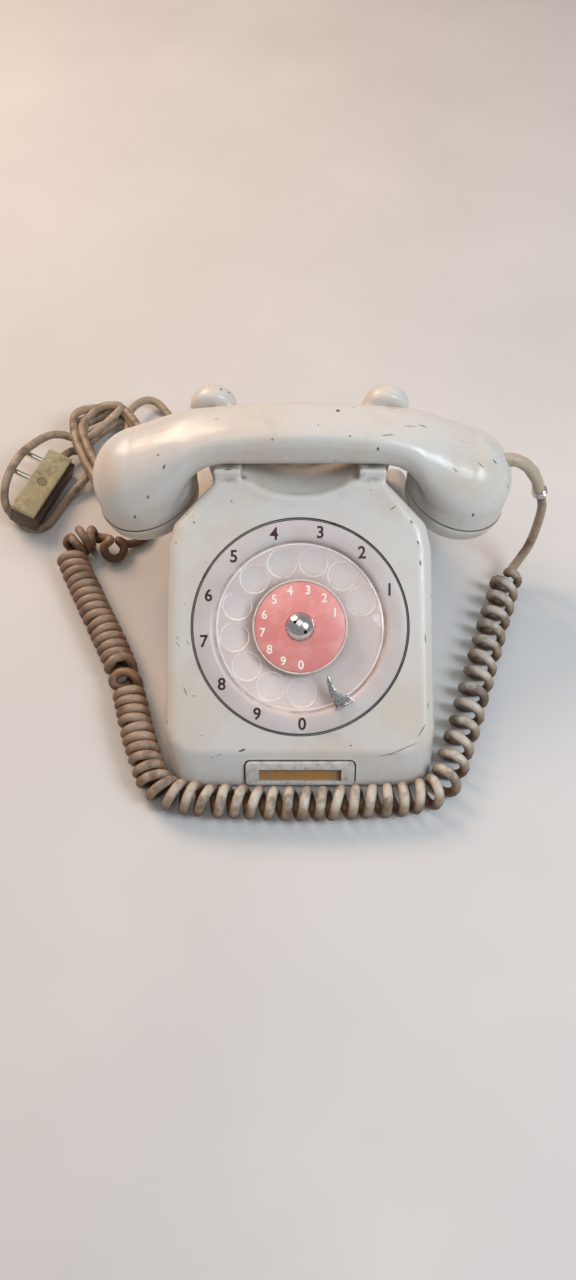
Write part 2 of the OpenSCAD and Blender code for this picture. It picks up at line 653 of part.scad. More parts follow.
// Stack of leaf contacts worked by the cam
module impulse_contacts() color("sienna") at_dial() rotate(205) {
  translate([24, -5, cam_h - 2]) cube([8, 10, pan_h - plate_t - cam_h + 2]);
  for (i = [-1:1]) translate([9.2, i * 3 - 0.2, cam_h - 1]) cube([15, 0.4, 3]);
}

// Rear bearing plate, its posts and the governor's drum
module dial_bridge() color("silver") at_dial() difference() {
  union() {
    translate([0, 0, bridge_h]) cylinder(r = 37, h = plate_t);
    for (p = post_spots) translate([p[0], p[1], bridge_h]) cylinder(r = post_r, h = pan_h - plate_t - bridge_h);
    translate([governor_xy[0], governor_xy[1], bridge_h + plate_t]) ring(drum_r, drum_r - drum_t, 6);
  }
  translate([0, 0, bridge_h - 1]) cylinder(r = shaft_r + fit, h = 9);
  for (p = [train_xy, governor_xy]) translate([p[0], p[1], bridge_h - 1]) cylinder(r = arbor_r + fit, h = 5);
}

// ---------------------------------------------------------------- hook switch

module plunger() {
  translate([0, 0, plunger_low]) cylinder(r = plunger_r, h = cradle_z - 0.1 - plunger_low);
  translate([0, 0, plunger_low]) cylinder(r = plunger_flange_r, h = 1.3);
}

module left_plunger() color("whitesmoke") translate([-plunger_x, hand_y, 0]) plunger();

module right_plunger() color("whitesmoke") translate([plunger_x, hand_y, 0]) plunger();

module hook_lever() color("silver") difference() {
  union() {
    translate([-22, lever_y, lever_z]) rotate([0, 90, 0]) cylinder(r = 3.5, h = 44);
    translate([-22, lever_y - 14, lever_z + 1.3]) cube([44, 13, lever_t]);
    for (side = [-1, 1]) translate([side * (plunger_x - 8.5) - 11, lever_y - 14, lever_z + 1.3])
      cube([22, 6, lever_t]);
    for (side = [-1, 1]) translate([side * plunger_x - 2.5, hand_y - 2.5, lever_z + 1.3])
      cube([5, lever_y - 8 - hand_y + 2.5, lever_t]);
  }
  translate([-30, lever_y, lever_z]) rotate([0, 90, 0]) cylinder(r = screw_r + fit, h = 60);
}

module hook_pin() color("silver") translate([-27, lever_y, lever_z]) rotate([0, 90, 0])
  cylinder(r = screw_r, h = 54);

module hook_bracket() color("gray") difference() {
  union() {
    translate([-26, lever_y - 6, neck_ceiling - 1.5]) cube([52, 10, 1.5]);
    for (side = [-1, 1]) translate([side * 24.5 - 0.75, lever_y - 6, lever_z - 5])
      cube([1.5, 10, neck_ceiling - lever_z + 5]);
  }
  translate([-30, lever_y, lever_z]) rotate([0, 90, 0]) cylinder(r = screw_r + fit, h = 60);
}

module hook_contacts() color("sienna") {
  translate([-7, 56, neck_ceiling - 6]) cube([14, 8, 6]);
  for (i = [0:3]) translate([-6 + i * 3.8, 57, neck_ceiling - 20]) cube([0.5, 6, 15]);
}

// ---------------------------------------------------------------- board and ringer

module circuit_board() color("peru") {
  translate([-board_w / 2, board_y - board_d / 2, board_z]) cube([board_w, board_d, board_t]);
  for (x = [-1, 1]) for (y = [-1, 1]) translate([x * (board_w / 2 - 4), board_y + y * (board_d / 2 - 4), base_z])
    cylinder(r = 2.2, h = board_z - base_z);
}

module induction_coil() color("dimgray") translate([-17, board_y, board_z + board_t]) {
  translate([-11, -9, 0]) cube([22, 18, 4]);
  translate([-11, -9, 14]) cube([22, 18, 4]);
  translate([0, 0, 3]) cylinder(r = 8, h = 12);
}

module capacitor() color("steelblue") translate([4, board_y + 8, board_z + board_t + 6]) rotate([0, 90, 0])
  cylinder(r = 6, h = 24);

module terminal_block() color("black") translate([2, board_y - 13, board_z + board_t]) difference() {
  cube([28, 10, 8]);
  for (i = [0:4]) translate([4 + i * 5, 5, 3]) cylinder(r = 1 + fit, h = 9);
}

module terminal_screws() color("gold") for (i = [0:4]) translate([6 + i * 5, board_y - 8, board_z + board_t]) {
  translate([0, 0, 4]) cylinder(r = 1, h = 4);
  translate([0, 0, 8]) cylinder(r = 1.9, h = 1.2);
}

module ringer_frame() color("silver") difference() {
  union() {
    translate([-gong_x - 6, clapper_y - 8, base_z]) cube([2 * gong_x + 12, ring_y - clapper_y + 15, 1.5]);
    for (side = [-1, 1]) translate([side * gong_x, ring_y, base_z])
      cylinder(r = 4, h = gong_z + gong_h - gong_t - base_z);
    translate([0, clapper_y, base_z]) cylinder(r = 1.5, h = 27);
  }
  for (side = [-1, 1]) translate([side * gong_x, ring_y, gong_z]) cylinder(r = 2 + fit, h = far);
}

module ringer_coils() color("sienna") for (side = [-1, 1]) translate([side * coil_x, clapper_y, base_z + 1.5]) {
  cylinder(r = coil_r - 1.3, h = 20);
  for (z = [0, 18.5]) translate([0, 0, z]) cylinder(r = coil_r, h = 1.5);
}

module gong(side) translate([side * gong_x, ring_y, gong_z]) rotate_extrude() polygon([[2 + fit, gong_h],
  [gong_r - 8, gong_h], [gong_r - 3, gong_h - 2], [gong_r - 0.6, gong_h - 6], [gong_r, 0], [gong_r - 1.3, 0],
  [gong_r - 2, gong_h - 6.5], [gong_r - 4, gong_h - 3.2], [gong_r - 8.5, gong_h - gong_t],
  [2 + fit, gong_h - gong_t]]);

module left_gong() color("silver") gong(-1);

module right_gong() color("silver") gong(1);

module gong_screws() color("darkgray") for (side = [-1, 1]) translate([side * gong_x, ring_y, gong_z + gong_h]) {
  translate([0, 0, -9]) cylinder(r = 2, h = 9);
  cylinder(r = 3.6, h = 2);
}

// Hammer on its arm, over the coils
module clapper() color("goldenrod") translate([0, clapper_y, base_z + 22.5]) difference() {
  union() {
    cylinder(r = 4, h = 3);
    translate([-12, -3, 0]) cube([24, 6, 2]);
    translate([-1.5, 0, 0]) cube([3, ring_y - clapper_y, 2]);
    translate([0, ring_y - clapper_y, 0]) {
      translate([0, 0, gong_z + 5 - base_z - 22.5]) cylinder(r = 1.5, h = base_z + 24.5 - gong_z - 5);
      translate([0, 0, gong_z + 5 - base_z - 22.5]) sphere(r = hammer_r);
    }
  }
  translate([0, 0, -9]) cylinder(r = 1.5 + fit, h = 20);
}

// ---------------------------------------------------------------- handset

// Two balls along the top edges of the grip, drawn in by inset
module grip_top(x, rise, inset) for (side = [-1, 1]) ball(hand_y + side * (grip_d / 2 - top_round),
  grip_z + grip_h - arch + rise - top_round, hand_x + x, top_round - inset);

// Four balls at one end of the grip
module grip_end(x, inset) {
  grip_top(x, 0, inset);
  for (side = [-1, 1])
    ball(hand_y + side * (grip_d / 2 - low_round), grip_z + low_round, hand_x + x, low_round - inset);
}

module handset_form(inset) {
  hull() {
    grip_end(-grip_half, inset);
    grip_top(0, arch, inset);
    grip_end(grip_half, inset);
  }
  for (side = [-1, 1]) hull() {
    grip_end(side * grip_half, inset);
    translate([hand_x + side * cup_x, hand_y, dome_z]) rotate_extrude($fn = 40) intersection() {
      circle(r = cup_r - inset, $fn = 40);
      square(cup_r);
    }
    at_cup(side) translate([0, 0, -inset]) cylinder(r = cup_r - inset, h = 6, $fn = 40);
  }
}

module handset_shell() color("antiquewhite") difference() {
  handset_form(0);
  handset_form(shell_t);
  translate([hand_x + cup_x, hand_y, exit_z]) rotate([0, 90, 0]) cylinder(r = sleeve_r + 0.2, h = 40);
}

module cap(holes, hole_r) difference() {
  rotate_extrude($fn = 96) polygon([[0, -cap_h], [cup_r - 7, -cap_h], [cup_r - 3.6, -cap_h + 1.4],
    [cup_r - 1.4, -cap_h + 4.4], [cup_r - 0.4, -cap_h + 9], [cup_r, -0.8], [cup_r - 0.5, 0],
    [cup_r - shell_t - thread_gap, 0], [cup_r - shell_t - thread_gap, thread_l],
    [cup_r - shell_t - thread_gap - 1.8, thread_l], [cup_r - shell_t - thread_gap - 1.8, -cap_h + 6],
    [cup_r - 7, -cap_h + cap_t], [0, -cap_h + cap_t]]);
  translate([0, 0, -cap_h - 1]) cylinder(r = hole_r, h = 6, $fn = 24);
  for (ring = [1, 2]) for (i = [0:holes * ring - 1]) rotate(i * 360 / (holes * ring))
    translate([5.5 * ring, 0, -cap_h - 1]) cylinder(r = hole_r, h = 6, $fn = 24);
}

module ear_cap() color("antiquewhite") at_cup(-1) cap(6, 1.1);

module mouth_cap() color("antiquewhite") at_cup(1) cap(5, 1.5);

module receiver_capsule() color("dimgray") at_cup(-1) translate([0, 0, -cap_h + cap_t]) {
  cylinder(r = capsule_r, h = receiver_rim_h);
  cylinder(r = receiver_back_r, h = receiver_h);
}

module transmitter_capsule() color("silver") at_cup(1) translate([0, 0, -cap_h + cap_t]) {
  cylinder(r = capsule_r, h = transmitter_rim_h);
  cylinder(r = transmitter_back_r, h = transmitter_h);
}

// ---------------------------------------------------------------- cords

module cord_sleeve() color("tan") tube(sleeve_route, sleeve_r, 10, [0, 1, 0], [1, 0, 0], ferrule_dir);

module cord_ferrule() color("lightgray") tube([ferrule_from, ferrule_to], sleeve_r + 0.5, 12, [0, 1, 0]);

module handset_cord_lead() color("tan")
  tube(smooth(lead_route, 2), cord_d / 2, 8, [0.4, 1, 0], ferrule_dir, curl_first);

module curly_cord() color("tan") tube(smooth(curl_route, 2), curl_d / 2, 12, [0, 0, 1], curl_first, curl_final);

module curly_cord_tail() color("tan")
  tube(smooth(tail_route, 2), cord_d / 2, 8, [0, 0, 1], curl_final, [0, -1, 0]);

// Rubber bush in the rear wall
module gland(x) translate([x, 0, gland_z]) rotate([-90, 0, 0]) {
  translate([0, 0, rear_y - 8]) cylinder(r = cord_d / 2 + 1.2, h = 8.4);
  translate([0, 0, rear_y + 0.4]) cylinder(r = cord_d / 2 + 2.6, h = gland_out_y - rear_y - 0.4);
}

module handset_cord_gland() color("dimgray") gland(hand_gland_x);

module line_cord_gland() color("dimgray") gland(line_gland_x);

module line_cord() color("tan") tube(smooth(line_route, 2), cord_d / 2, 8, [0, 0, 1], [0, 1, 0]);

module line_cord_hank() color("tan") linear_extrude(hank_h) hull() for (p = hank_plan)
  translate(p) circle(r = hank_r, $fn = 48);

module line_cord_end() color("tan") {
  tube(loop_route, cord_d / 2, 8, [0, 0, 1]);
  tube(smooth(plug_lead_route, 2), cord_d / 2, 8, [0, 0, 1], plug_way);
}

// Middle of the plug's base: local +X points to the cord, +Y the way the blades point
module at_plug() translate(plug_at) rotate(plug_turn) rotate([0, plug_pitch, 0]) rotate([plug_roll, 0, 0])
  children();

module plug_base() color("saddlebrown") at_plug() difference() {
  translate([-plug_l / 2, -plug_w / 2 - plug_step, -plug_base_h / 2])
    cube([plug_l, plug_w + plug_step, plug_base_h]);
  translate([0, 0, plug_base_h / 2 - 8]) cylinder(r = screw_r + fit, h = 9);
}

module plug_cover() color("darkkhaki") at_plug() difference() {
  translate([-plug_l / 2 - 0.5, -plug_w / 2, plug_base_h / 2 + slip]) cube([plug_l + 1, plug_w + 0.5, plug_cover_t]);
  cylinder(r = screw_r + fit, h = far);
  translate([0, 0, plug_base_h / 2 + slip + plug_cover_t - 1.5]) cylinder(r = 2 * screw_r + slip, h = 9);
}

module plug_screw() color("lightgray") at_plug() translate([0, 0, plug_base_h / 2 + slip + plug_cover_t - 1.5]) {
  translate([0, 0, -7.5]) cylinder(r = screw_r, h = 7.5);
  cylinder(r = 2 * screw_r, h = 1.2);
}

module plug_pins() color("lightgray") at_plug() for (along = plug_pins_at) translate([along, plug_w / 2, 0])
  rotate([-90, 0, 0]) cylinder(r = 1.9, h = pin_l);

// ---------------------------------------------------------------- drawing

case_shell();
base_plate();
rubber_feet();
case_screws();
label_frame();
label_card();
label_window();
number_ring();
dial_plate();
dial_screws();
finger_stop();
finger_wheel();
centre_disc();
disc_rim();
centre_screw();
dial_shaft();
main_gear();
mainspring();
train_gear();
governor_shaft();
governor_weights();
impulse_cam();
impulse_contacts();
dial_bridge();
left_plunger();
right_plunger();
hook_lever();
hook_pin();
hook_bracket();
hook_contacts();
circuit_board();
induction_coil();
capacitor();
terminal_block();
terminal_screws();
ringer_frame();
ringer_coils();
left_gong();
right_gong();
gong_screws();
clapper();
handset_shell();
ear_cap();
mouth_cap();
receiver_capsule();
transmitter_capsule();
cord_sleeve();
cord_ferrule();
handset_cord_lead();
curly_cord();
curly_cord_tail();
handset_cord_gland();
line_cord_gland();
line_cord();
line_cord_hank();
line_cord_end();
plug_cover();
plug_base();
plug_pins();
plug_screw();
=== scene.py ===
"""Rotary desk telephone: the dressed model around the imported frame, in metres."""
import random
from math import copysign, cos, pi, radians, sin, sqrt

import bmesh
import bpy
import numpy as np
from mathutils import Euler, Matrix, Vector, kdtree


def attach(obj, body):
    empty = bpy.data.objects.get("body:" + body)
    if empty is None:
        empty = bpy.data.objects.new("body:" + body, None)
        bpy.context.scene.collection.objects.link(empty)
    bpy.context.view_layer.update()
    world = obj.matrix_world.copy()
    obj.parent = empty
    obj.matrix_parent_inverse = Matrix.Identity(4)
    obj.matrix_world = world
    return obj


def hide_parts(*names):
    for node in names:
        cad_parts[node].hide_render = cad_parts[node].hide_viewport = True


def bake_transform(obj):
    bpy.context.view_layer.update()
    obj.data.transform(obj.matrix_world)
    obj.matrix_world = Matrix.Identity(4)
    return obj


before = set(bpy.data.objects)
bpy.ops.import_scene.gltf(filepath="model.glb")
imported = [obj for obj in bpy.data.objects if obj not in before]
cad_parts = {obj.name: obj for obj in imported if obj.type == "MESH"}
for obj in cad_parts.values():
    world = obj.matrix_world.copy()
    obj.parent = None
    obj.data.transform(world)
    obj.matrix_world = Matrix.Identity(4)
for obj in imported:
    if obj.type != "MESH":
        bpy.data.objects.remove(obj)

scene = bpy.context.scene
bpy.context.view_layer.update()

# ---------------- camera
# A short wide lens held over the front of the telephone, looking down at it.
# The whole telephone, its coiled line cord and its plug are in view.
CAMERA_AT = (-0.0065, -0.3172, 0.4903)
CAMERA_DOWN = radians(57.5)
CAMERA_SENSOR = 24.0
CAMERA_LENS = 18.02

camera_data = bpy.data.cameras.new("camera")
camera_data.sensor_fit = "VERTICAL"
camera_data.sensor_height = CAMERA_SENSOR
camera_data.lens = CAMERA_LENS
camera = bpy.data.objects.new("camera", camera_data)
camera.location = CAMERA_AT
camera.rotation_euler = (pi / 2 - CAMERA_DOWN, 0, 0)
scene.collection.objects.link(camera)
scene.camera = camera

# ---------------- room
# A plain pale floor, an even pale sky and three large soft lamps.
# The one behind on the left is a little warm, the one in front on the right a little cool.
scene.view_settings.view_transform = "Standard"

world = bpy.data.worlds.new("studio")
world.use_nodes = True
world.node_tree.nodes["Background"].inputs["Color"].default_value = (0.95, 0.96, 1.0, 1)
world.node_tree.nodes["Background"].inputs["Strength"].default_value = 0.29
scene.world = world

for name, place, aim, size, watts, colour in (
        ("lamp_rear_left", (-0.75, 0.75, 0.95), (0, 0.03, 0.05), (0.6, 0.6), 13.0, (1.0, 0.70, 0.50)),
        ("lamp_front_right", (0.66, -0.35, 0.85), (0.03, 0.02, 0.05), (0.35, 0.5), 7.0, (0.80, 0.91, 1.0)),
        ("lamp_overhead", (-0.1, -0.1, 1.5), (0, 0, 0.05), (1.0, 1.0), 3.2, (1.0, 0.95, 0.90))):
    lamp_data = bpy.data.lights.new(name, "AREA")
    lamp_data.shape = "RECTANGLE"
    lamp_data.size, lamp_data.size_y = size
    lamp_data.energy = watts
    lamp_data.color = colour
    lamp = bpy.data.objects.new(name, lamp_data)
    lamp.location = place
    lamp.rotation_euler = (Vector(aim) - Vector(place)).to_track_quat("-Z", "Y").to_euler()
    scene.collection.objects.link(lamp)


def as_piece(bm, name):
    """Makes an object of a finished bmesh, at the origin."""
    mesh = bpy.data.meshes.new(name)
    bm.to_mesh(mesh)
    bm.free()
    piece = bpy.data.objects.new(name, mesh)
    scene.collection.objects.link(piece)
    return piece


def feed(node, sockets):
    """Links or sets a node's inputs; sockets holds links and constants by socket name or number."""
    for key, value in sockets.items():
        if isinstance(value, bpy.types.NodeSocket):
            node.id_data.links.new(value, node.inputs[key])
        else:
            node.inputs[key].default_value = value
    return node


def add_node(near, kind, settings=None, sockets=None):
    """Adds a shader node to the tree that holds near, with its settings and inputs."""
    made = near.id_data.nodes.new("ShaderNode" + kind)
    for key, value in (settings or {}).items():
        setattr(made, key, value)
    return feed(made, sockets or {})


def calc(operation, *values):
    """A Math node's result, in the tree that its values come from."""
    socket = next(value for value in values if isinstance(value, bpy.types.NodeSocket))
    return add_node(socket, "Math", {"operation": operation}, dict(enumerate(values))).outputs[0]


def scaled(value, by, plus=None):
    """A value times another one, with a third one added to it if it is given."""
    return calc("MULTIPLY", value, by) if plus is None else calc("MULTIPLY_ADD", value, by, plus)


def blend_colour(amount, below, above, share=None):
    """Mixes a colour over another one by an amount, or by a share of it, and returns the socket."""
    if share is not None:
        amount = scaled(amount, share)
    colours = {number: (*colour, 1) if isinstance(colour, tuple) else colour
               for number, colour in ((6, below), (7, above))}
    return add_node(amount, "Mix", {"data_type": "RGBA"}, {0: amount, **colours}).outputs[2]


def new_material(name):
    """An empty material; returns it with its shader and the object's own coordinates."""
    material = bpy.data.materials.new(name)
    material.use_nodes = True
    shader = material.node_tree.nodes["Principled BSDF"]
    return material, shader, add_node(shader, "TexCoord").outputs["Object"]


floor_bm = bmesh.new()
bmesh.ops.create_grid(floor_bm, x_segments=2, y_segments=2, size=4.0)
floor = as_piece(floor_bm, "floor")
floor_material, shader, place = new_material("floor_paper")
floor_cloud = add_node(place, "TexNoise", None, {"Vector": place, "Scale": 6.0, "Detail": 3.0})
floor_shade = add_node(place, "MapRange", None, {"Value": floor_cloud.outputs["Fac"],
    "From Min": 0.3, "From Max": 0.7})
feed(shader, {"Base Color": blend_colour(floor_shade.outputs[0], (0.6, 0.59, 0.58), (0.66, 0.65, 0.64)),
    "Roughness": 0.85})
floor.data.materials.append(floor_material)

# ---------------- base plate, feet and screws
# The bottom is a stamped and zinc-plated steel plate, let into the case and held by four screws.
# Four black rubber feet are pushed into it.


def new_group(name, inputs, outputs):
    """An empty node group; inputs and outputs hold socket types by name. Returns it with its two ends."""
    group = bpy.data.node_groups.new(name, "ShaderNodeTree")
    for way, sockets in (("INPUT", inputs), ("OUTPUT", outputs)):
        for socket, kind in sockets.items():
            group.interface.new_socket(socket, in_out=way, socket_type="NodeSocket" + kind)
    return group, group.nodes.new("NodeGroupInput").outputs, group.nodes.new("NodeGroupOutput")


def ramp(value, start, end):
    """A socket that rises softly from 0 to 1 as a value goes from start to end."""
    return add_node(value, "MapRange", {"interpolation_type": "SMOOTHSTEP"},
        {"Value": value, "From Min": start, "From Max": end}).outputs[0]


# Cloudy patches: a mask with the size of the clouds in metres and the share that they cover.
CLOUDS, given, result = new_group("clouds", {"Place": "Vector", "Size": "Float", "Cover": "Float"},
    {"Mask": "Float"})
cloud = add_node(CLOUDS, "TexNoise", None, {"Vector": given["Place"],
    "Scale": calc("DIVIDE", 1.0, given["Size"]), "Detail": 6.0, "Roughness": 0.62})
cloud_low = calc("SUBTRACT", 0.72, given["Cover"])
feed(result, {"Mask": ramp(cloud.outputs["Fac"], cloud_low, calc("ADD", cloud_low, 0.2))})


def clouds(place, size, cover):
    """A socket with a mask of cloudy patches."""
    return add_node(place, "Group", {"node_tree": CLOUDS},
        {"Place": place, "Size": size, "Cover": cover}).outputs["Mask"]


def grain(place, scale, detail=2.0):
    """A socket with fine noise."""
    return add_node(place, "TexNoise", None,
        {"Vector": place, "Scale": scale, "Detail": detail}).outputs["Fac"]


def add_bump(shader, height, depth, strength=0.6):
    """Gives the shader a bumpy surface from a height socket."""
    bump = add_node(shader, "Bump", None, {"Strength": strength, "Distance": depth, "Height": height})
    feed(shader, {"Normal": bump.outputs[0]})


def worn_metal(name, colour, roughness, speckle=0.0, cover=0.2, size=0.0009, dents=0.00006):
    """Bare or plated metal with dull patches; speckle says how strongly it is spotted."""
    material, shader, place = new_material(name)
    dull = clouds(place, 0.006, 0.2)
    specks = clouds(place, size, cover)
    dark = tuple(0.25 * part for part in colour)
    tone = blend_colour(specks, colour, dark, speckle)
    feed(shader, {"Base Color": blend_colour(dull, tone, dark, 0.25), "Metallic": 1.0})
    rough = scaled(dull, 0.2, roughness)
    feed(shader, {"Roughness": scaled(specks, 0.3 * speckle, rough)})
    add_bump(shader, grain(place, 0.63 / size), dents)
    return material


def plain_finish(name, colour, roughness, mottle=0.15, size=0.004):
    """A plain moulded or painted surface with a slight mottle."""
    material, shader, place = new_material(name)
    dark = tuple(part * 0.55 for part in colour)
    feed(shader, {"Base Color": blend_colour(clouds(place, size, 0.25), colour, dark, mottle * 3),
        "Roughness": roughness})
    add_bump(shader, grain(place, 1200.0), 0.00004)
    return material


def dress(material, *names):
    """Gives CAD pieces, whose shape is right as it is, their material."""
    for name in names:
        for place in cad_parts[name].material_slots:
            place.link = "OBJECT"
            place.material = material


ZINC = worn_metal("zinc_plated_steel", (0.60, 0.60, 0.57), 0.36, 0.25)
dress(ZINC, "base_plate", "case_screws")
dress(plain_finish("foot_rubber", (0.022, 0.021, 0.020), 0.75, 0.4), "rubber_feet")

# ---------------- case
# One moulded shell of hard ivory plastic: sloping face, shoulders, and a neck with the cradle.
# The face has a round well for the dial, and the lip a shallow recess for the label.


def shift(x, y, z):
    """A move as a matrix."""
    return Matrix.Translation((x, y, z))


def turned(degrees, axis):
    """A turn as a matrix."""
    return Matrix.Rotation(radians(degrees), 4, axis)


CASE_VOXEL = 0.00115
DIAL_PLACE = shift(0, -0.0335, 0.058) @ turned(33, "X")
WELL_R = 0.0588
PLUNGER_X = 0.0375
HAND_Y = 0.0535
LABEL_W = 0.059
LABEL_H = 0.0136
LABEL_DEEP = 0.0012
LABEL_PLACE = shift(0, -0.09546, 0.01389) @ turned(53.9, "X") @ shift(0, -0.0032, 0)


def settle(piece):
    """Makes a plain mesh of a curve, or of a mesh with its modifiers."""
    bpy.context.view_layer.update()
    graph = bpy.context.evaluated_depsgraph_get()
    mesh = bpy.data.meshes.new_from_object(piece.evaluated_get(graph))
    mesh.name = piece.name
    if piece.type == "MESH":
        piece.modifiers.clear()
        piece.data = mesh
        return piece
    name = piece.name
    piece.name = name + "_line"
    made = bpy.data.objects.new(name, mesh)
    scene.collection.objects.link(made)
    bpy.data.objects.remove(piece)
    return made


def modify(piece, kind, **settings):
    """Changes a mesh with a modifier and keeps the result."""
    modifier = piece.modifiers.new(kind.lower(), kind)
    for key, value in settings.items():
        setattr(modifier, key, value)
    settle(piece)


def cut_out(piece, other):
    """Cuts another object out of a piece, removes it and returns the piece."""
    modify(piece, "BOOLEAN", operation="DIFFERENCE", solver="EXACT", object=other)
    bpy.data.objects.remove(other)
    return piece


def shade(piece, angle=38):
    """Smooth shading, with edges sharper than the angle kept crisp."""
    piece.data.shade_smooth()
    piece.data.set_sharp_from_angle(angle=radians(angle))


def keep_still(verts):
    """Tags finished vertices, so that the next spun form leaves them where they are."""
    for v in verts:
        v.tag = True


def spin_profile(bm, profile, place, steps=96):
    """Spins a profile of (radius, height) points round the local Z axis and sets it in place."""
    corners = [bm.verts.new((r, 0, h)) for r, h in profile]
    edges = [bm.edges.new(pair) for pair in zip(corners, corners[1:])]
    bmesh.ops.spin(bm, geom=corners + edges, axis=(0, 0, 1), cent=(0, 0, 0), angle=2 * pi,
        steps=steps, use_merge=True)
    verts = {v for v in bm.verts if not v.tag}
    bmesh.ops.transform(bm, matrix=place, verts=list(verts))
    bmesh.ops.remove_doubles(bm, verts=list(verts), dist=1e-7)
    keep_still(bm.verts)
    bmesh.ops.recalc_face_normals(bm, faces=bm.faces)


def lathe(name, profile, place, steps=96):
    """A turned piece."""
    bm = bmesh.new()
    spin_profile(bm, profile, place, steps)
    piece = as_piece(bm, name)
    shade(piece)
    return piece


def block(bm, size, place):
    """Adds a box with its middle at the local origin."""
    made = bmesh.ops.create_cube(bm, size=1.0)
    bmesh.ops.transform(bm, matrix=place @ Matrix.Diagonal((*size, 1)), verts=made["verts"])
    keep_still(made["verts"])
    return made["verts"]


def round_corners(bm, edges, radius):
    """Rounds the given edges."""
    bmesh.ops.bevel(bm, geom=edges, offset=radius, affect="EDGES", segments=5, profile=0.5, material=-1)
    keep_still(bm.verts)


def cad_copy(name):
    """A merged copy of a CAD piece's mesh."""
    bm = bmesh.new()
    bm.from_mesh(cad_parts[name].data)
    bmesh.ops.remove_doubles(bm, verts=bm.verts, dist=2e-6)
    bmesh.ops.recalc_face_normals(bm, faces=bm.faces)
    keep_still(bm.verts)
    return bm


class Surface:
    """The vertices of a mesh with their neighbours, for smoothing and for marking worn places."""

    def __init__(self, mesh):
        self.mesh = mesh
        pairs = np.empty(len(mesh.edges) * 2, dtype=np.int32)
        mesh.edges.foreach_get("vertices", pairs)
        a, b = pairs.reshape(-1, 2).T
        self.here, self.there = np.concatenate([a, b]), np.concatenate([b, a])
        self.count = np.maximum(np.bincount(self.here, minlength=len(mesh.vertices)), 1)

    def points(self):
        flat = np.empty(len(self.mesh.vertices) * 3, dtype=np.float32)
        self.mesh.vertices.foreach_get("co", flat)
        return flat.reshape(-1, 3).astype(np.float64)

    def mean(self, values):
        """The mean of the neighbours' values."""
        return np.column_stack([np.bincount(self.here, weights=values[self.there, k], minlength=len(values))
                                for k in range(values.shape[1])]) / self.count[:, None]

    def smooth(self, rounds, where=None):
        """Smooths the surface without shrinking it, in one place if a weight for each vertex is given."""
        at = self.points()
        share = 1.0 if where is None else where(at)[:, None]
        for _ in range(rounds):
            at += 0.5 * share * (self.mean(at) - at)
            at -= 0.53 * share * (self.mean(at) - at)
        self.mesh.vertices.foreach_set("co", at.astype(np.float32).ravel())
        self.mesh.update()

    def standing_out(self, rounds, height):
        """How far each vertex stands out of the surface round it, from -1 to 1."""
        at = self.points()
        soft = at.copy()
        for _ in range(rounds):
            soft += 0.6 * (self.mean(soft) - soft)
        flat = np.empty(len(self.mesh.vertices) * 3, dtype=np.float32)
        self.mesh.vertices.foreach_get("normal", flat)
        out = ((at - soft) * flat.reshape(-1, 3)).sum(axis=1)
        return at, np.clip(out / height, -1, 1)


def set_in(piece, finish, slot, body, *nodes):
    """Gives a piece its finish; it stands for CAD nodes and rides on a body. The slot is not used."""
    piece.data.materials.clear()
    piece.data.materials.append(finish)
    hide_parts(*nodes)
    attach(piece, body)


def mark_wear(piece, at, out):
    """Stores how far each vertex stands out (edge) or lies deep (hollow), found on a finer mesh."""
    tree = kdtree.KDTree(len(at))
    for i, point in enumerate(at):
        tree.insert(point, i)
    tree.balance()
    near = np.array([out[tree.find(v.co)[1]] for v in piece.data.vertices], dtype=np.float32)
    for name, values in (("edge", np.clip(near, 0, 1)), ("hollow", np.clip(-near, 0, 1))):
        piece.data.attributes.new(name, "FLOAT", "POINT").data.foreach_set("value", values)


def remesh(piece, voxel):
    """Makes an even mesh of a piece's solids, joined into one."""
    modify(piece, "REMESH", mode="VOXEL", voxel_size=voxel)


def thin_out(piece, faces):
    """Brings the number of triangles down."""
    count = sum(len(face.vertices) - 2 for face in piece.data.polygons)
    if count > faces:
        modify(piece, "DECIMATE", ratio=faces / count)


case_bm = cad_copy("case_shell")
spin_profile(case_bm, [(0, -0.0020), (0.0600, -0.0020), (0.0600, 0), (0, 0)], DIAL_PLACE, 128)
block(case_bm, (LABEL_W + 0.002, LABEL_H + 0.002, 0.0022), LABEL_PLACE @ shift(0, 0, -0.0011))
case = as_piece(case_bm, "case_shell_ivory")
remesh(case, CASE_VOXEL)
surface = Surface(case.data)
surface.smooth(6)
surface.smooth(150, lambda at: np.clip((at[:, 2] - 0.082) / 0.008, 0, 1) * (at[:, 1] < 0.07)
    * (np.hypot(np.abs(at[:, 0]) - PLUNGER_X, at[:, 1] - HAND_Y) > 0.009))
case_at, case_out = surface.standing_out(14, 0.0005)

cutter_bm = bmesh.new()
spin_profile(cutter_bm, [(0, -0.005), (WELL_R, -0.005), (WELL_R, -0.0003), (WELL_R + 0.0003, 0.0001),
    (WELL_R + 0.0008, 0.004), (0, 0.004)], DIAL_PLACE, 256)
recess_verts = block(cutter_bm, (LABEL_W + 0.0014, LABEL_H + 0.0014, 0.004),
    LABEL_PLACE @ shift(0, 0, 0.002 - LABEL_DEEP))
across_lip = LABEL_PLACE.to_3x3() @ Vector((0, 0, 1))
upright = [e for e in cutter_bm.edges if e.verts[0] in recess_verts and e.verts[1] in recess_verts
           and abs((e.verts[0].co - e.verts[1].co).normalized().dot(across_lip)) > 0.99]
round_corners(cutter_bm, upright, 0.0032)
for side in (-1, 1):
    spin_profile(cutter_bm, [(0, 0.0765), (0.0044, 0.0765), (0.0044, 0.0803), (0.0031, 0.0803),
        (0.0031, 0.106), (0, 0.106)], shift(side * PLUNGER_X, HAND_Y, 0), 32)
cut_out(case, as_piece(cutter_bm, "cutter"))
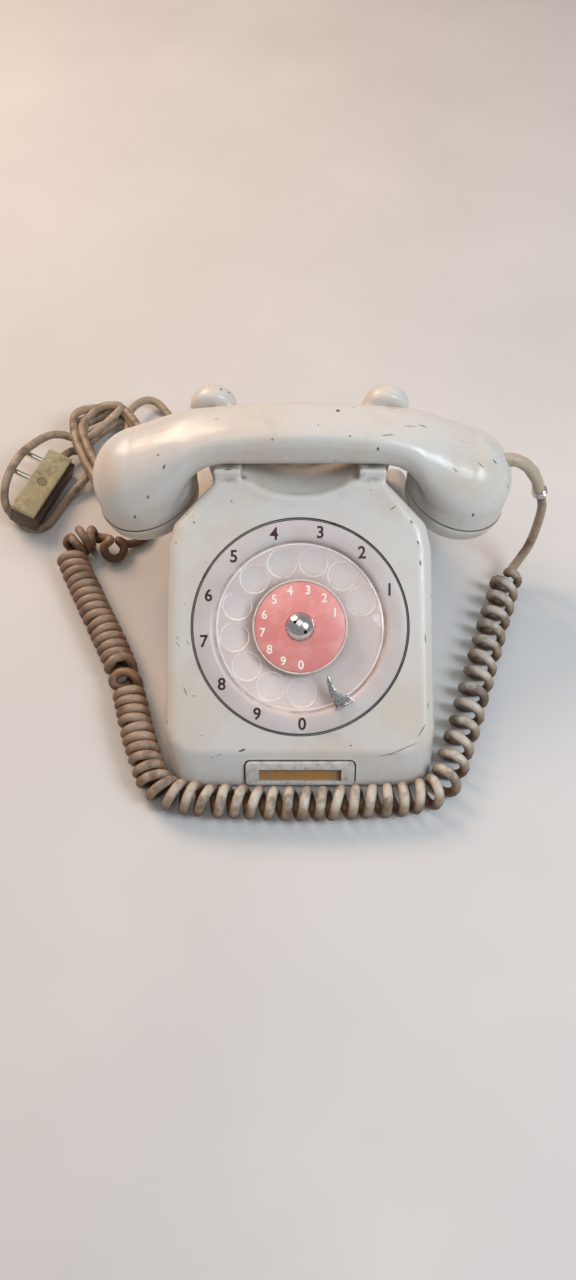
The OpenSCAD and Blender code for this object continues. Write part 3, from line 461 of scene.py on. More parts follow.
thin_out(case, 190000)
shade(case, 40)
mark_wear(case, case_at, case_out)



def mapped(place, kind="POINT", **sockets):
    """A place that is moved, turned or stretched."""
    return add_node(place, "Mapping", {"vector_type": kind}, {"Vector": place, **sockets}).outputs[0]


def vector_calc(operation, *values):
    """A Vector Math node's result."""
    made = add_node(values[0], "VectorMath", {"operation": operation}, dict(enumerate(values))).outputs
    return made["Value" if operation in ("LENGTH", "DOT_PRODUCT") else "Vector"]


# Wear of old plastic. Scuffs and nicks gather on the edges, dirt in the hollows; scratches are thin
# long lines, the contours of a stretched noise.
WEAR, given, result = new_group("wear", {"Place": "Vector", "Edge": "Float", "Hollow": "Float"},
    {"Scuff": "Float", "Scratch": "Float", "Nick": "Float", "Dirt": "Float"})
streaks = mapped(given["Place"], Scale=(1.0, 0.45, 1.0), Rotation=(0.3, 0.2, 0.7))
scuff_patch = clouds(streaks, 0.0055, 0.17)
scuff_fine = clouds(streaks, 0.0011, 0.23)
scuff_edge = ramp(given["Edge"], 0.22, 0.85)
lines = None
for turn, stretch, offset in (((0.2, 0.1, 0.5), (1.0, 0.12, 1.0), (0, 0, 0)),
                              ((1.0, 0.5, 2.1), (0.16, 1.0, 1.0), (3.1, 0.7, 1.9))):
    along = mapped(given["Place"], Rotation=turn, Scale=stretch, Location=offset)
    height = add_node(WEAR, "TexNoise", None, {"Vector": along, "Scale": 130.0, "Detail": 1.0})
    off_line = calc("ABSOLUTE", calc("SUBTRACT", height.outputs["Fac"], 0.5))
    line = add_node(WEAR, "MapRange", None,
        {"Value": off_line, "From Min": 0.0035, "From Max": 0.0008}).outputs[0]
    line = scaled(line, clouds(mapped(given["Place"], Location=offset), 0.011, 0.1))
    lines = line if lines is None else calc("MAXIMUM", lines, line)
cells = add_node(WEAR, "TexVoronoi", None, {"Vector": given["Place"], "Scale": 210.0})
nick_size = scaled(given["Edge"], 0.10, 0.075)
nick = calc("LESS_THAN", cells.outputs["Distance"], nick_size)
rare = add_node(WEAR, "SeparateColor", None, {"Color": cells.outputs["Color"]}).outputs["Red"]
rare = calc("GREATER_THAN", rare, scaled(given["Edge"], -0.18, 0.965))
dirt = scaled(given["Hollow"], scaled(clouds(given["Place"], 0.008, 0.3), 0.6, 0.4))
dirt = calc("MAXIMUM", dirt, scaled(clouds(given["Place"], 0.03, 0.10), 0.35))
feed(result, {"Scuff": scaled(scuff_edge, scaled(scuff_patch, scuff_fine)), "Scratch": lines,
    "Nick": scaled(nick, rare), "Dirt": dirt})

# Brown for dirt, and for painted shade on the number ring.
DIRT_AND_SHADE_BROWN = (0.10, 0.066, 0.042)
SCUFF_BROWN = (0.105, 0.07, 0.05)


def spots(place, marks, frame_turn=(0, 0, 0)):
    """A mask of single worn spots, scratches and painted shadow lines, each a place, a half length, a half
    width and a turn.
    """
    mask = None
    for at, long, wide, turn in marks:
        tilt = (Euler(frame_turn).to_matrix() @ Matrix.Rotation(turn, 3, "Z")).to_euler()
        away = mapped(place, "TEXTURE", Location=at, Rotation=tilt, Scale=(long, wide, max(wide, 0.0015)))
        spot = ramp(vector_calc("LENGTH", away), 1.1, 0.6)
        mask = spot if mask is None else calc("MAXIMUM", mask, spot)
    return mask


def seam_shade(place, seams):
    """A mask of painted shade in seams, a thin band beside each; each is a plane with a point, a normal and
    the side that it lies on.
    """
    mask = None
    across = add_node(place, "SeparateXYZ", None, {0: place}).outputs[0]
    for point, normal, side in seams:
        off = vector_calc("DOT_PRODUCT", vector_calc("SUBTRACT", place, point), normal)
        near = ramp(calc("ABSOLUTE", calc("ADD", off, 0.0004)), 0.001, 0.0004)
        near = scaled(near, calc("GREATER_THAN", scaled(across, side), 0.055))
        mask = near if mask is None else calc("MAXIMUM", mask, near)
    return mask


def recess_shade(place, recess_place, half_x, half_y, corner):
    """A mask of painted shade over a recess and a thin band round its edge, given by its place, half its sizes
    and the radius of its corners.
    """
    inside = mapped(place, "TEXTURE", Location=recess_place.translation, Rotation=recess_place.to_euler())
    beyond = vector_calc("SUBTRACT", vector_calc("ABSOLUTE", inside), (half_x - corner, half_y - corner, 1))
    beyond = vector_calc("LENGTH", vector_calc("MAXIMUM", beyond, (0, 0, 0)))
    return ramp(beyond, corner + 0.00025, corner)


def old_plastic(name, colour, yellowed, roughness=0.30, marks=(), wear=1.0, seams=(), frame_turn=(0, 0, 0),
                recesses=()):
    """Hard plastic that has yellowed in places, with scuffs, scratches, nicks and dirt, and with painted shade
    in its seams and round its recesses.
    """
    material, shader, place = new_material(name)
    edge = add_node(place, "Attribute", {"attribute_name": "edge"}).outputs["Fac"]
    hollow = add_node(place, "Attribute", {"attribute_name": "hollow"}).outputs["Fac"]
    worn = add_node(place, "Group", {"node_tree": WEAR},
        {"Place": place, "Edge": edge, "Hollow": hollow}).outputs
    tone = blend_colour(clouds(place, 0.05, 0.30), colour, yellowed)
    tone = blend_colour(worn["Dirt"], tone, DIRT_AND_SHADE_BROWN, 0.75)
    tone = blend_colour(worn["Scratch"], tone, SCUFF_BROWN, 0.4 * wear)
    tone = blend_colour(worn["Scuff"], tone, SCUFF_BROWN, 0.8 * wear)
    tone = blend_colour(worn["Nick"], tone, (0.07, 0.045, 0.03), 0.8 * wear)
    # Painted shade in the seams.
    if seams:
        tone = blend_colour(seam_shade(place, seams), tone, (0.05, 0.03, 0.02), 0.9)
    # Painted shade: a near-black band over each recess and round its edge.
    for recess in recesses:
        tone = blend_colour(recess_shade(place, *recess), tone, (0.022, 0.014, 0.01), 0.95)
    # Single marks: worn spots and scratches, and on the case one painted shadow line.
    if marks:
        rough_edge = scaled(clouds(place, 0.0007, 0.35), 0.45, 0.6)
        marked = scaled(spots(place, marks, frame_turn), rough_edge)
        tone = blend_colour(marked, tone, (0.055, 0.035, 0.025))
    feed(shader, {"Base Color": tone})
    rough = scaled(clouds(place, 0.02, 0.3), 0.10, roughness)
    rough = scaled(calc("MAXIMUM", worn["Scuff"], worn["Dirt"]), 0.3, rough)
    feed(shader, {"Roughness": rough, "IOR": 1.5})
    deep = calc("ADD", calc("MAXIMUM", worn["Scratch"], worn["Nick"]), worn["Scuff"])
    surface_height = calc("SUBTRACT", scaled(grain(place, 260.0), 0.35), deep)
    add_bump(shader, surface_height, 0.00012, 0.5)
    return material


IVORY = (0.655, 0.63, 0.59)
IVORY_YELLOW = (0.64, 0.575, 0.50)
# Single scratches and nicks on the face, in mm: across, up the slope, half length, half width, turn
FACE_MARKS = [
    (-61.9, -34.5, 2.9, 0.28, -1.19), (-65.7, -9.4, 2.2, 0.2, -1.05), (-66, -5.9, 1.3, 0.2, -0.93),
    (-70.8, -22.9, 0.9, 0.5, -1.25), (-71.1, -30.4, 0.6, 0.4, -0.46), (-62.8, -70.6, 2, 0.4, -0.28),
    (-48, -70.6, 1.7, 0.7, 0.32), (-44.2, -69.2, 2.3, 0.25, 0.36), (-31.3, -66.5, 2.3, 0.7, 0.36),
    (-71.9, -60, 2.1, 0.5, -1.17), (-57.4, -37.1, 0.6, 0.4, 0), (-60.3, -8.6, 1.9, 0.2, -0.98),
    (47.1, -68.9, 6.8, 0.28, 0.16), (57.9, -64.6, 7.2, 0.25, 0.38), (52, -67.2, 5, 0.2, 0.3),
    (67.5, -6.2, 3.5, 0.4, -1.49), (65.7, -55.5, 5.1, 0.3, 1.01), (64.7, 34.4, 1.6, 0.7, -1.4),
    (63.4, 45.4, 1.4, 0.6, -1.19), (69.1, -42.5, 3.2, 0.5, -1.49), (-57, 56.2, 1, 0.4, -0.98),
    (-67.9, -70.8, 2.2, 0.5, -1.05), (-53.1, -58.4, 0.5, 0.4, 0), (59.9, 56.4, 1.3, 0.6, -0.93),
    (27.4, -63.8, 0.6, 0.4, 0), (-36.9, 67.4, 1.1, 0.3, -0.79), (-50.6, 34.9, 0.8, 0.2, -0.79),
    (50, 64, 2.4, 0.3, 0.6)]
face_marks_and_shadow = [(tuple(DIAL_PLACE @ Vector((x / 1000, up / 1000, 0))), long / 1000, wide / 1000, turn)
              for x, up, long, wide, turn in FACE_MARKS]
# Painted shadow: a thin dark line on the left saddle, under the front edge of the handset's grip.
face_marks_and_shadow.append(((-0.0386, 0.0365, 0.1049), 0.0026, 0.0005, 0.1))
# The case gets painted shade round the dial well and round the label's recess.
set_in(case, old_plastic("ivory_case_plastic", IVORY, IVORY_YELLOW, 0.28, face_marks_and_shadow, 1.15, (),
    tuple(DIAL_PLACE.to_euler()),
    [(DIAL_PLACE, WELL_R, WELL_R, WELL_R),
     (LABEL_PLACE, LABEL_W / 2 + 0.0008, LABEL_H / 2 + 0.0008, 0.0034)]),
    "case_plastic", "body", "case_shell")

# ---------------- label on the lip
# A grey moulded frame, let into the lip, with an amber card under a clear window.
# The card is blank.


def ease_edges(piece, width):
    """Rounds off a piece's edges and shades it."""
    modify(piece, "BEVEL", width=width, segments=3, limit_method="ANGLE")
    shade(piece, 50)


label_bm = bmesh.new()
block(label_bm, (LABEL_W, LABEL_H, 0.0032), shift(0, 0, 0.0004))
upright = [e for e in label_bm.edges if abs(e.verts[0].co.z - e.verts[1].co.z) > 0.001]
round_corners(label_bm, upright, 0.0024)
hole_bm = bmesh.new()
block(hole_bm, (LABEL_W - 0.0144, LABEL_H - 0.0062, 0.01), shift(0, -0.0013, 0))
label = cut_out(as_piece(label_bm, "label_frame_grey"), as_piece(hole_bm, "cutter"))
label.data.transform(LABEL_PLACE)
ease_edges(label, 0.0010)
set_in(label, plain_finish("label_grey_plastic", (0.62, 0.60, 0.56), 0.32, 0.25), "label_grey", "body",
    "label_frame")
card_material, shader, place = new_material("amber_card")
card_tone = blend_colour(clouds(place, 0.012, 0.3), (0.52, 0.25, 0.055), (0.40, 0.21, 0.07))
feed(shader, {"Base Color": card_tone, "Roughness": 0.6})
dress(card_material, "label_card")


def clear_plastic(name, tint, roughness, haze):
    """A clear plastic sheet: what lies under it shows through, with a gloss; haze is its milky share."""
    material, shader, place = new_material(name)
    feed(shader, {"Base Color": (*tint, 1), "IOR": 1.49, "Roughness": roughness})
    clear = add_node(place, "BsdfTransparent", None, {"Color": (*tint, 1)})
    gloss = add_node(place, "Fresnel", None, {"IOR": 1.3}).outputs[0]
    shine = add_node(place, "BsdfGlossy", None, {"Roughness": roughness})
    sheet = add_node(place, "MixShader", None, {0: gloss, 1: clear.outputs[0], 2: shine.outputs[0]})
    milky = scaled(scaled(clouds(place, 0.012, 0.3), 0.6, 0.7), haze)
    body = add_node(place, "MixShader", None, {0: milky, 1: sheet.outputs[0], 2: shader.outputs[0]})
    light = add_node(place, "LightPath")
    whole = add_node(place, "MixShader", None, {0: light.outputs["Is Shadow Ray"],
        1: body.outputs[0], 2: clear.outputs[0]})
    feed(shader.id_data.nodes["Material Output"], {"Surface": whole.outputs[0]})
    return material


dress(clear_plastic("window_plastic", (0.95, 0.93, 0.88), 0.1, 0.05), "label_window")

# ---------------- hook switch
# Two ivory plungers in the saddles press a steel lever, which opens the contacts in the neck.
# The lever turns on a pin in a folded bracket.
dress(plain_finish("plunger_plastic", (0.62, 0.58, 0.50), 0.35), "left_plunger", "right_plunger")
dress(ZINC, "hook_lever", "hook_pin", "hook_bracket")
dress(plain_finish("contact_block", (0.10, 0.045, 0.02), 0.5), "hook_contacts")

# ---------------- dial movement
# A pressed steel pan carries the shaft, brass gears, the governor in its drum and the impulse contacts.
# It hangs under the case round the well on three small screws.
dress(ZINC, "dial_plate", "dial_bridge", "dial_screws", "governor_weights")
dress(worn_metal("turned_steel", (0.56, 0.55, 0.54), 0.25), "dial_shaft", "governor_shaft")
dress(worn_metal("gear_brass", (0.72, 0.52, 0.22), 0.28), "main_gear", "train_gear")
dress(worn_metal("spring_steel", (0.20, 0.21, 0.24), 0.35), "mainspring")
dress(plain_finish("cam_nylon", (0.66, 0.62, 0.52), 0.45), "impulse_cam")
dress(plain_finish("contact_phenolic", (0.13, 0.06, 0.03), 0.5), "impulse_contacts")

# ---------------- number ring
# A moulded ring of pinkish ivory plastic that fills the well; its dish lies under the finger wheel.
# The ten plain numbers are printed on its flat rim, upright, beside the finger holes.
RING_R = 0.058
WHEEL_R = 0.045
NUMBER_R = 0.0521
NUMBER_H = 0.0068
FIRST_NUMBER = radians(22.8)
NUMBER_STEP = radians(27.6)
RING_TOP = 0.0006
DISH = -0.0044

ring = lathe("number_ring_ivory", [
    (0.0102, DISH - 0.0012), (0.0102, DISH), (0.0448, DISH), (0.0453, DISH + 0.0001),
    (0.0457, DISH + 0.0005), (0.0459, DISH + 0.0011), (0.0461, -0.0020), (0.0465, -0.0010),
    (0.0471, -0.0003), (0.0478, 0.0002),
    (0.0484, 0.00048), (0.0490, RING_TOP),
    (0.0572, RING_TOP), (0.0576, 0.00048), (0.0579, 0.0002), (RING_R, -0.0002), (RING_R, -0.0024),
    (0.0467, -0.0024), (0.0467, DISH - 0.0012), (0.0102, DISH - 0.0012)], DIAL_PLACE, 192)


def ring_plastic(name):
    """The ivory of the ring: painted shade, patchy like dirt, in the gap where it meets the case and in the
    corner of the dish; darker towards the centre, and the dish painted lighter.
    """
    material, shader, place = new_material(name)
    flat = mapped(place, "TEXTURE", Location=DIAL_PLACE.translation, Rotation=DIAL_PLACE.to_euler())
    part = add_node(place, "SeparateXYZ", None, {0: flat}).outputs
    level = add_node(place, "CombineXYZ", None, {0: part[0], 1: part[1]}).outputs[0]
    radius = vector_calc("LENGTH", level)
    # Painted shade: the gap round the ring's edge and the corner of the dish under the wheel's edge; the same
    # patchy mask makes the dish darker towards the centre.
    rim = ramp(radius, 0.0572, 0.0576)
    corner = ramp(calc("ABSOLUTE", calc("SUBTRACT", radius, 0.0463)), 0.001, 0.0001)
    inner = ramp(radius, 0.032, 0.023)
    patchy = scaled(clouds(place, 0.009, 0.35), 0.7, 0.3)
    dirt = scaled(calc("MAXIMUM", scaled(rim, 0.85),
        calc("MAXIMUM", scaled(corner, 0.40), scaled(inner, 0.35))), patchy)
    worn = add_node(place, "Group", {"node_tree": WEAR},
        {"Place": place, "Edge": 0.0, "Hollow": 0.0}).outputs
    tone = blend_colour(clouds(place, 0.03, 0.3), (0.62, 0.565, 0.55), (0.58, 0.51, 0.485))
    # Painted light: the dish under the wheel is made lighter, against the shade that falls on it.
    dish = ramp(radius, 0.0478, 0.045)
    tone = blend_colour(dish, tone, (0.74, 0.67, 0.64), 0.7)
    # The patchy painted shade in dirt brown, then a near-black line of painted shade in the gap round the
    # ring's edge.
    tone = blend_colour(dirt, tone, DIRT_AND_SHADE_BROWN)
    tone = blend_colour(rim, tone, (0.035, 0.02, 0.015), 0.9)
    tone = blend_colour(worn["Scratch"], tone, SCUFF_BROWN, 0.35)
    feed(shader, {"Base Color": tone, "Roughness": scaled(dirt, 0.3, 0.34)})
    add_bump(shader, grain(place, 300.0), 0.00003)
    return material


def numeral(bm, text, at, height, lift):
    """Adds a plain upright numeral, its middle at a place on the dial's face."""
    data = bpy.data.curves.new("numeral", "FONT")
    data.body = text
    data.resolution_u = 6
    data.offset = 0.022
    letter = bpy.data.objects.new("numeral", data)
    scene.collection.objects.link(letter)
    letter = settle(letter)
    corners = [v.co for v in letter.data.vertices]
    low = Vector((min(c.x for c in corners), min(c.y for c in corners), 0))
    high = Vector((max(c.x for c in corners), max(c.y for c in corners), 0))
    scale = height / (high.y - low.y)
    size = Matrix.Diagonal((0.96 * scale, scale, 1, 1))
    letter.data.transform(DIAL_PLACE @ shift(*at, lift) @ size @ Matrix.Translation(-(low + high) / 2))
    bm.from_mesh(letter.data)
    bpy.data.objects.remove(letter)


def printed_numerals(name, radius, height, lift, colour, body, node, slot):
    """The numbers 1 to 9 and 0 round the dial, printed in one colour."""
    bm = bmesh.new()
    for i, text in enumerate("1234567890"):
        angle = FIRST_NUMBER + i * NUMBER_STEP
        numeral(bm, text, (radius * cos(angle), radius * sin(angle)), height, lift)
    material, shader, place = new_material(name + "_print")
    faded = tuple(min(1.0, 1.6 * part + 0.02) for part in colour)
    feed(shader, {"Base Color": blend_colour(clouds(place, 0.003, 0.25), colour, faded), "Roughness": 0.45})
    set_in(as_piece(bm, name), material, slot, body, node)


printed_numerals("ring_numbers", NUMBER_R, NUMBER_H, RING_TOP + 0.00006, (0.040, 0.008, 0.012), "body",
    "number_ring", "ring_plastic")
set_in(ring, ring_plastic("ring_ivory_plastic"), "ring_plastic", "body", "number_ring")

# ---------------- finger wheel
# A thick disc of clear plastic, hazy with age, with ten finger holes whose rims are flared.
# It is clamped on the shaft under the coral disc.
WHEEL_LOW = -0.0014
WHEEL_TOP = 0.0010
FINGER_R = 0.0074
FINGER_CIRCLE = 0.0356

wheel_bm = bmesh.new()
spin_profile(wheel_bm, [(0.0031, WHEEL_LOW), (0.0444, WHEEL_LOW), (0.0448, WHEEL_LOW + 0.0002),
    (WHEEL_R, WHEEL_LOW + 0.0007), (WHEEL_R, WHEEL_TOP - 0.0007), (0.0448, WHEEL_TOP - 0.0002),
    (0.0444, WHEEL_TOP), (0.0031, WHEEL_TOP), (0.0031, WHEEL_LOW)], DIAL_PLACE, 160)
wheel = as_piece(wheel_bm, "finger_wheel_clear")
holes_bm = bmesh.new()
for i in range(10):
    angle = radians(23) + i * NUMBER_STEP
    spin_profile(holes_bm, [(0, -0.004), (FINGER_R + 0.003, -0.004),
        (FINGER_R + 0.00045, WHEEL_LOW - 0.0001), (FINGER_R, WHEEL_LOW + 0.0006),
        (FINGER_R, WHEEL_TOP - 0.0008), (FINGER_R + 0.0002, WHEEL_TOP - 0.0004),
        (FINGER_R + 0.0007, WHEEL_TOP + 0.0001), (FINGER_R + 0.003, 0.004), (0, 0.004)],
        DIAL_PLACE @ shift(FINGER_CIRCLE * cos(angle), FINGER_CIRCLE * sin(angle), 0), 64)
cut_out(wheel, as_piece(holes_bm, "cutter"))
shade(wheel, 30)
set_in(wheel, clear_plastic("clear_wheel_plastic", (0.975, 0.96, 0.955), 0.08, 0.05),
    "clear_plastic", "dial", "finger_wheel")
wheel.data.materials.append(clear_plastic("milky_wheel_edges", (0.97, 0.95, 0.94), 0.20, 0.62))
dial_axis = DIAL_PLACE.to_3x3() @ Vector((0, 0, 1))
for face in wheel.data.polygons:
    face.material_index = 0 if abs(face.normal.dot(dial_axis)) > 0.97 else 1

# ---------------- centre disc, its rim and the screw
# A coral plastic disc with small white numbers, edged by a pale rim.
# A domed chromed screw with two spanner holes holds the whole dial together.
DISC_R = 0.0242
DISC_TOP = WHEEL_TOP + 0.0008
SMALL_NUMBER_R = 0.0203
SMALL_NUMBER_H = 0.0049

disc = lathe("centre_disc_coral", [(0.0031, WHEEL_TOP), (DISC_R, WHEEL_TOP), (DISC_R, DISC_TOP - 0.0001),
    (DISC_R - 0.0002, DISC_TOP), (0.0031, DISC_TOP), (0.0031, WHEEL_TOP)], DIAL_PLACE, 128)
coral, shader, place = new_material("coral_plastic")
tone = blend_colour(clouds(place, 0.015, 0.35), (0.86, 0.37, 0.335), (0.78, 0.27, 0.25))
tone = blend_colour(clouds(place, 0.004, 0.12), tone, (0.5, 0.13, 0.12), 0.3)
feed(shader, {"Base Color": tone, "Roughness": scaled(clouds(place, 0.01, 0.3), 0.18, 0.24)})
add_bump(shader, grain(place, 350.0), 0.00003)
set_in(disc, coral, "coral_plastic", "dial", "centre_disc")
printed_numerals("disc_numbers", SMALL_NUMBER_R, SMALL_NUMBER_H, DISC_TOP + 0.00006, (0.93, 0.87, 0.76),
    "dial", "centre_disc", "coral_plastic")

RIM_IN = DISC_R + 0.0003
RIM_OUT = RIM_IN + 0.00115
rim = lathe("disc_rim_pale", [(RIM_IN, WHEEL_TOP), (RIM_OUT, WHEEL_TOP), (RIM_OUT, WHEEL_TOP + 0.0007),
    (RIM_OUT - 0.0002, WHEEL_TOP + 0.0011), (RIM_OUT - 0.0006, WHEEL_TOP + 0.0012),
    (RIM_IN + 0.0002, WHEEL_TOP + 0.0011), (RIM_IN, WHEEL_TOP + 0.0008), (RIM_IN, WHEEL_TOP)], DIAL_PLACE,
    128)
set_in(rim, plain_finish("rim_pale_plastic", (0.74, 0.60, 0.55), 0.28, 0.2), "ring_plastic", "dial",
    "disc_rim")

DOME_R = 0.0078
DOME_SPHERE = DOME_R * 1.16
DOME_H = 0.0042
dome_profile = [(0.0015, -0.007), (0.0015, 0), (DOME_R, 0), (DOME_R, 0.0003)]
for k in range(1, 17):
    r = DOME_R * cos(pi / 2 * k / 16)
    dome_profile.append((r, DOME_H - DOME_SPHERE + sqrt(DOME_SPHERE ** 2 - r ** 2)))
dome_profile += [(0, -0.007), (0.0015, -0.007)]
dome_place = DIAL_PLACE @ shift(0, 0, DISC_TOP)
dome = lathe("centre_screw_chromed", dome_profile, dome_place)
spanner_bm = bmesh.new()
for side in (-1, 1):
    spin_profile(spanner_bm, [(0, 0.0012), (0.00095, 0.0012), (0.00095, 0.008), (0, 0.008)],
        dome_place @ turned(-45, "Z") @ shift(side * DOME_R * 0.5, 0, 0), 32)
cut_out(dome, as_piece(spanner_bm, "cutter"))
shade(dome, 30)
set_in(dome, worn_metal("chrome_plate", (0.74, 0.72, 0.71), 0.17, 0.5), "bright_metal", "dial",
    "centre_screw")
dome.data.materials.append(plain_finish("hole_shade", (0.015, 0.012, 0.012), 0.6))
hole_spots = [Matrix.Rotation(radians(-45), 3, "Z") @ Vector((side * DOME_R * 0.5, 0, 0)) for side in (-1,
    1)]
to_dome = dome_place.inverted()
for face in dome.data.polygons:
    if min(((to_dome @ face.center - spot).to_2d().length for spot in hole_spots)) < 0.00097:
        face.material_index = 1

# ---------------- finger stop
# A bent strip of plated steel, pitted with age, that starts at the ring and reaches over the wheel.
# Its tip is curved like a beak, and its foot goes down through the ring.
STOP_H = WHEEL_TOP + 0.0006
STOP_T = 0.0012
STOP_R = 0.0478
STOP_OUTLINE = [(30, 0.2), (31.3, 0.05), (33, -0.2), (36, -0.4), (38, -0.4), (39.6, 0.0), (41, 0.8),
    (42.2, 1.8), (43.5, 3), (45.2, 4.2), (47.8, 5), (47.8, -5), (46, -5), (44, -4.8), (41.5, -4.6),
    (39, -4.2), (37, -3.8), (35, -3.2), (33, -2.4), (31, -1.4), (30, -0.6)]
stop_place = DIAL_PLACE @ turned(-60, "Z")
stop_bm = bmesh.new()
top = stop_bm.faces.new([stop_bm.verts.new((x / 1000, y / 1000,
    STOP_H + 0.0010 * sin(pi / 2 * max(0, 1 - (x - 30) / 17.8)) * 0.6)) for x, y in STOP_OUTLINE])
made = bmesh.ops.extrude_face_region(stop_bm, geom=[top])
bmesh.ops.translate(stop_bm, vec=(0, 0, STOP_T), verts=[v for v in made["geom"] if isinstance(v,
    bmesh.types.BMVert)])
block(stop_bm, (STOP_T, 0.01, STOP_H + STOP_T + 0.0024),
    shift(STOP_R + STOP_T / 2, 0, (STOP_H + STOP_T - 0.0024) / 2))
bmesh.ops.recalc_face_normals(stop_bm, faces=stop_bm.faces)
stop_bm.transform(stop_place)
stop = as_piece(stop_bm, "finger_stop_steel")
ease_edges(stop, 0.0003)
set_in(stop, worn_metal("pitted_steel", (0.80, 0.79, 0.80), 0.14, 0.95, 0.30, 0.0017, 0.0005),
    "bright_metal", "body", "finger_stop")

# ---------------- circuit board
# A brown phenolic board on four posts carries the induction coil, a capacitor can and the terminals.
# The wires between them are left out.
dress(plain_finish("phenolic_board", (0.20, 0.10, 0.045), 0.45, 0.3), "circuit_board")
dress(worn_metal("copper_winding", (0.62, 0.27, 0.13), 0.35, 0.3), "induction_coil", "ringer_coils")
dress(worn_metal("capacitor_can", (0.60, 0.62, 0.64), 0.3), "capacitor")
dress(plain_finish("terminal_black", (0.02, 0.02, 0.02), 0.4), "terminal_block")
dress(worn_metal("terminal_brass", (0.70, 0.52, 0.25), 0.25), "terminal_screws")

# ---------------- ringer
# Two steel gongs stand on a folded frame with two coils; a hammer on an armature swings between them.
# Each gong is turned from sheet steel and held by a screw.
dress(ZINC, "ringer_frame", "gong_screws")
dress(worn_metal("gong_nickel", (0.66, 0.63, 0.57), 0.16, 0.1), "left_gong", "right_gong")
dress(worn_metal("clapper_brass", (0.66, 0.50, 0.24), 0.25), "clapper")

# ---------------- handset
# A moulded hollow grip that bows over the cradle and flows into a round cup at each end.
# It is worn smooth, with dirt and scratches where it has been held.
HAND_X = 0.0015
CUP_X = 0.089
CUP_R = 0.0295
CUP_TILT = radians(15)
DOME_Z = 0.079
SEAM_Z = 0.069
SHELL_T = 0.0026
HANDSET_VOXEL = 0.0010
# Half of the grip, in mm: distance from the middle, top, underside, half width, squareness
GRIP = [(0, 127.4, 103.04, 15.75, 3.3), (14, 127.2, 103.04, 15.75, 3.3), (27, 126.4, 103.04, 15.75, 3.3),
    (40, 124.9, 103.0, 15.8, 3.2), (46, 124.0, 102.4, 16.1, 3.1), (52, 122.9, 100.7, 17.0, 2.9),
    (57, 121.9, 97.6, 18.5, 2.7), (61, 121.0, 92.8, 20.0, 2.6), (64, 120.2, 87.0, 21.4, 2.5),
    (67, 119.3, 79.0, 22.8, 2.4), (70, 118.3, 70.0, 24.2, 2.35), (74, 116.8, 61.0, 25.9, 2.3),
    (79, 114.7, 54.0, 27.8, 2.2), (84, 112.5, 50.0, 29.0, 2.1), (92, 109.3, 49.5, 29.3, 2.0),
    (98, 106.6, 50.0, 28.1, 2.0)]


def cup_place(side):
    """The seam plane of a cup; side is 1 on the right and -1 on the left."""
    return shift(HAND_X + side * CUP_X, HAND_Y, SEAM_Z) @ Matrix.Rotation(side * CUP_TILT, 4, "Y")


def handset_solid(name, inset, voxel):
    """The handset's outer form, drawn in by inset, as an even mesh."""
    bm = bmesh.new()
    rows = [(-u, *rest) for u, *rest in reversed(GRIP[1:])] + GRIP
    rings = []
    for u, high, low, half, square in rows:
        middle, tall = (high + low) / 2000, (high - low) / 2000 - inset
        ring = []
        for k in range(40):
            a = 2 * pi * k / 40
            c, s = cos(a), sin(a)
            ring.append(bm.verts.new((HAND_X + u / 1000,
                HAND_Y + (half / 1000 - inset) * copysign(abs(c) ** (2 / square), c),
                middle + tall * copysign(abs(s) ** (2 / square), s))))
        rings.append(ring)
    for a, b in zip(rings, rings[1:]):
        for k in range(40):
            bm.faces.new((a[k], a[(k + 1) % 40], b[(k + 1) % 40], b[k]))
    bm.faces.new(rings[0])
    bm.faces.new(rings[-1])
    for side in (-1, 1):
        dome = bmesh.ops.create_uvsphere(bm, u_segments=64, v_segments=40, radius=CUP_R - inset)["verts"]
        bmesh.ops.transform(bm, matrix=shift(HAND_X + side * CUP_X, HAND_Y, DOME_Z), verts=dome)
        low = bmesh.ops.create_circle(bm, segments=64, radius=CUP_R - inset)["verts"]
        bmesh.ops.transform(bm, matrix=cup_place(side) @ shift(0, 0, -0.005), verts=low)
        middle = [bm.verts.new(v.co) for v in dome if abs(v.co.z - DOME_Z) < 1e-5]
        bmesh.ops.convex_hull(bm, input=middle + low)
    bmesh.ops.recalc_face_normals(bm, faces=bm.faces)
    piece = as_piece(bm, name)
    remesh(piece, voxel)
    return piece


handset = handset_solid("handset_shell_ivory", 0, HANDSET_VOXEL)
surface = Surface(handset.data)
surface.smooth(26)
handset_at, handset_out = surface.standing_out(14, 0.00045)
inner = handset_solid("cutter", SHELL_T, 0.0018)
Surface(inner.data).smooth(4)
cut_out(handset, inner)
below_bm = bmesh.new()
for side in (-1, 1):
    block(below_bm, (0.07, 0.07, 0.03), cup_place(side) @ shift(0, 0, -0.015))
cut_out(handset, as_piece(below_bm, "cutter"))
thin_out(handset, 150000)
shade(handset, 45)
mark_wear(handset, handset_at, handset_out)
# Seam planes of the cups, where painted shade darkens the seam.
SEAMS = [(tuple(cup_place(side).translation), tuple(cup_place(side).to_3x3() @ Vector((0, 0, 1))), side)
         for side in (-1, 1)]
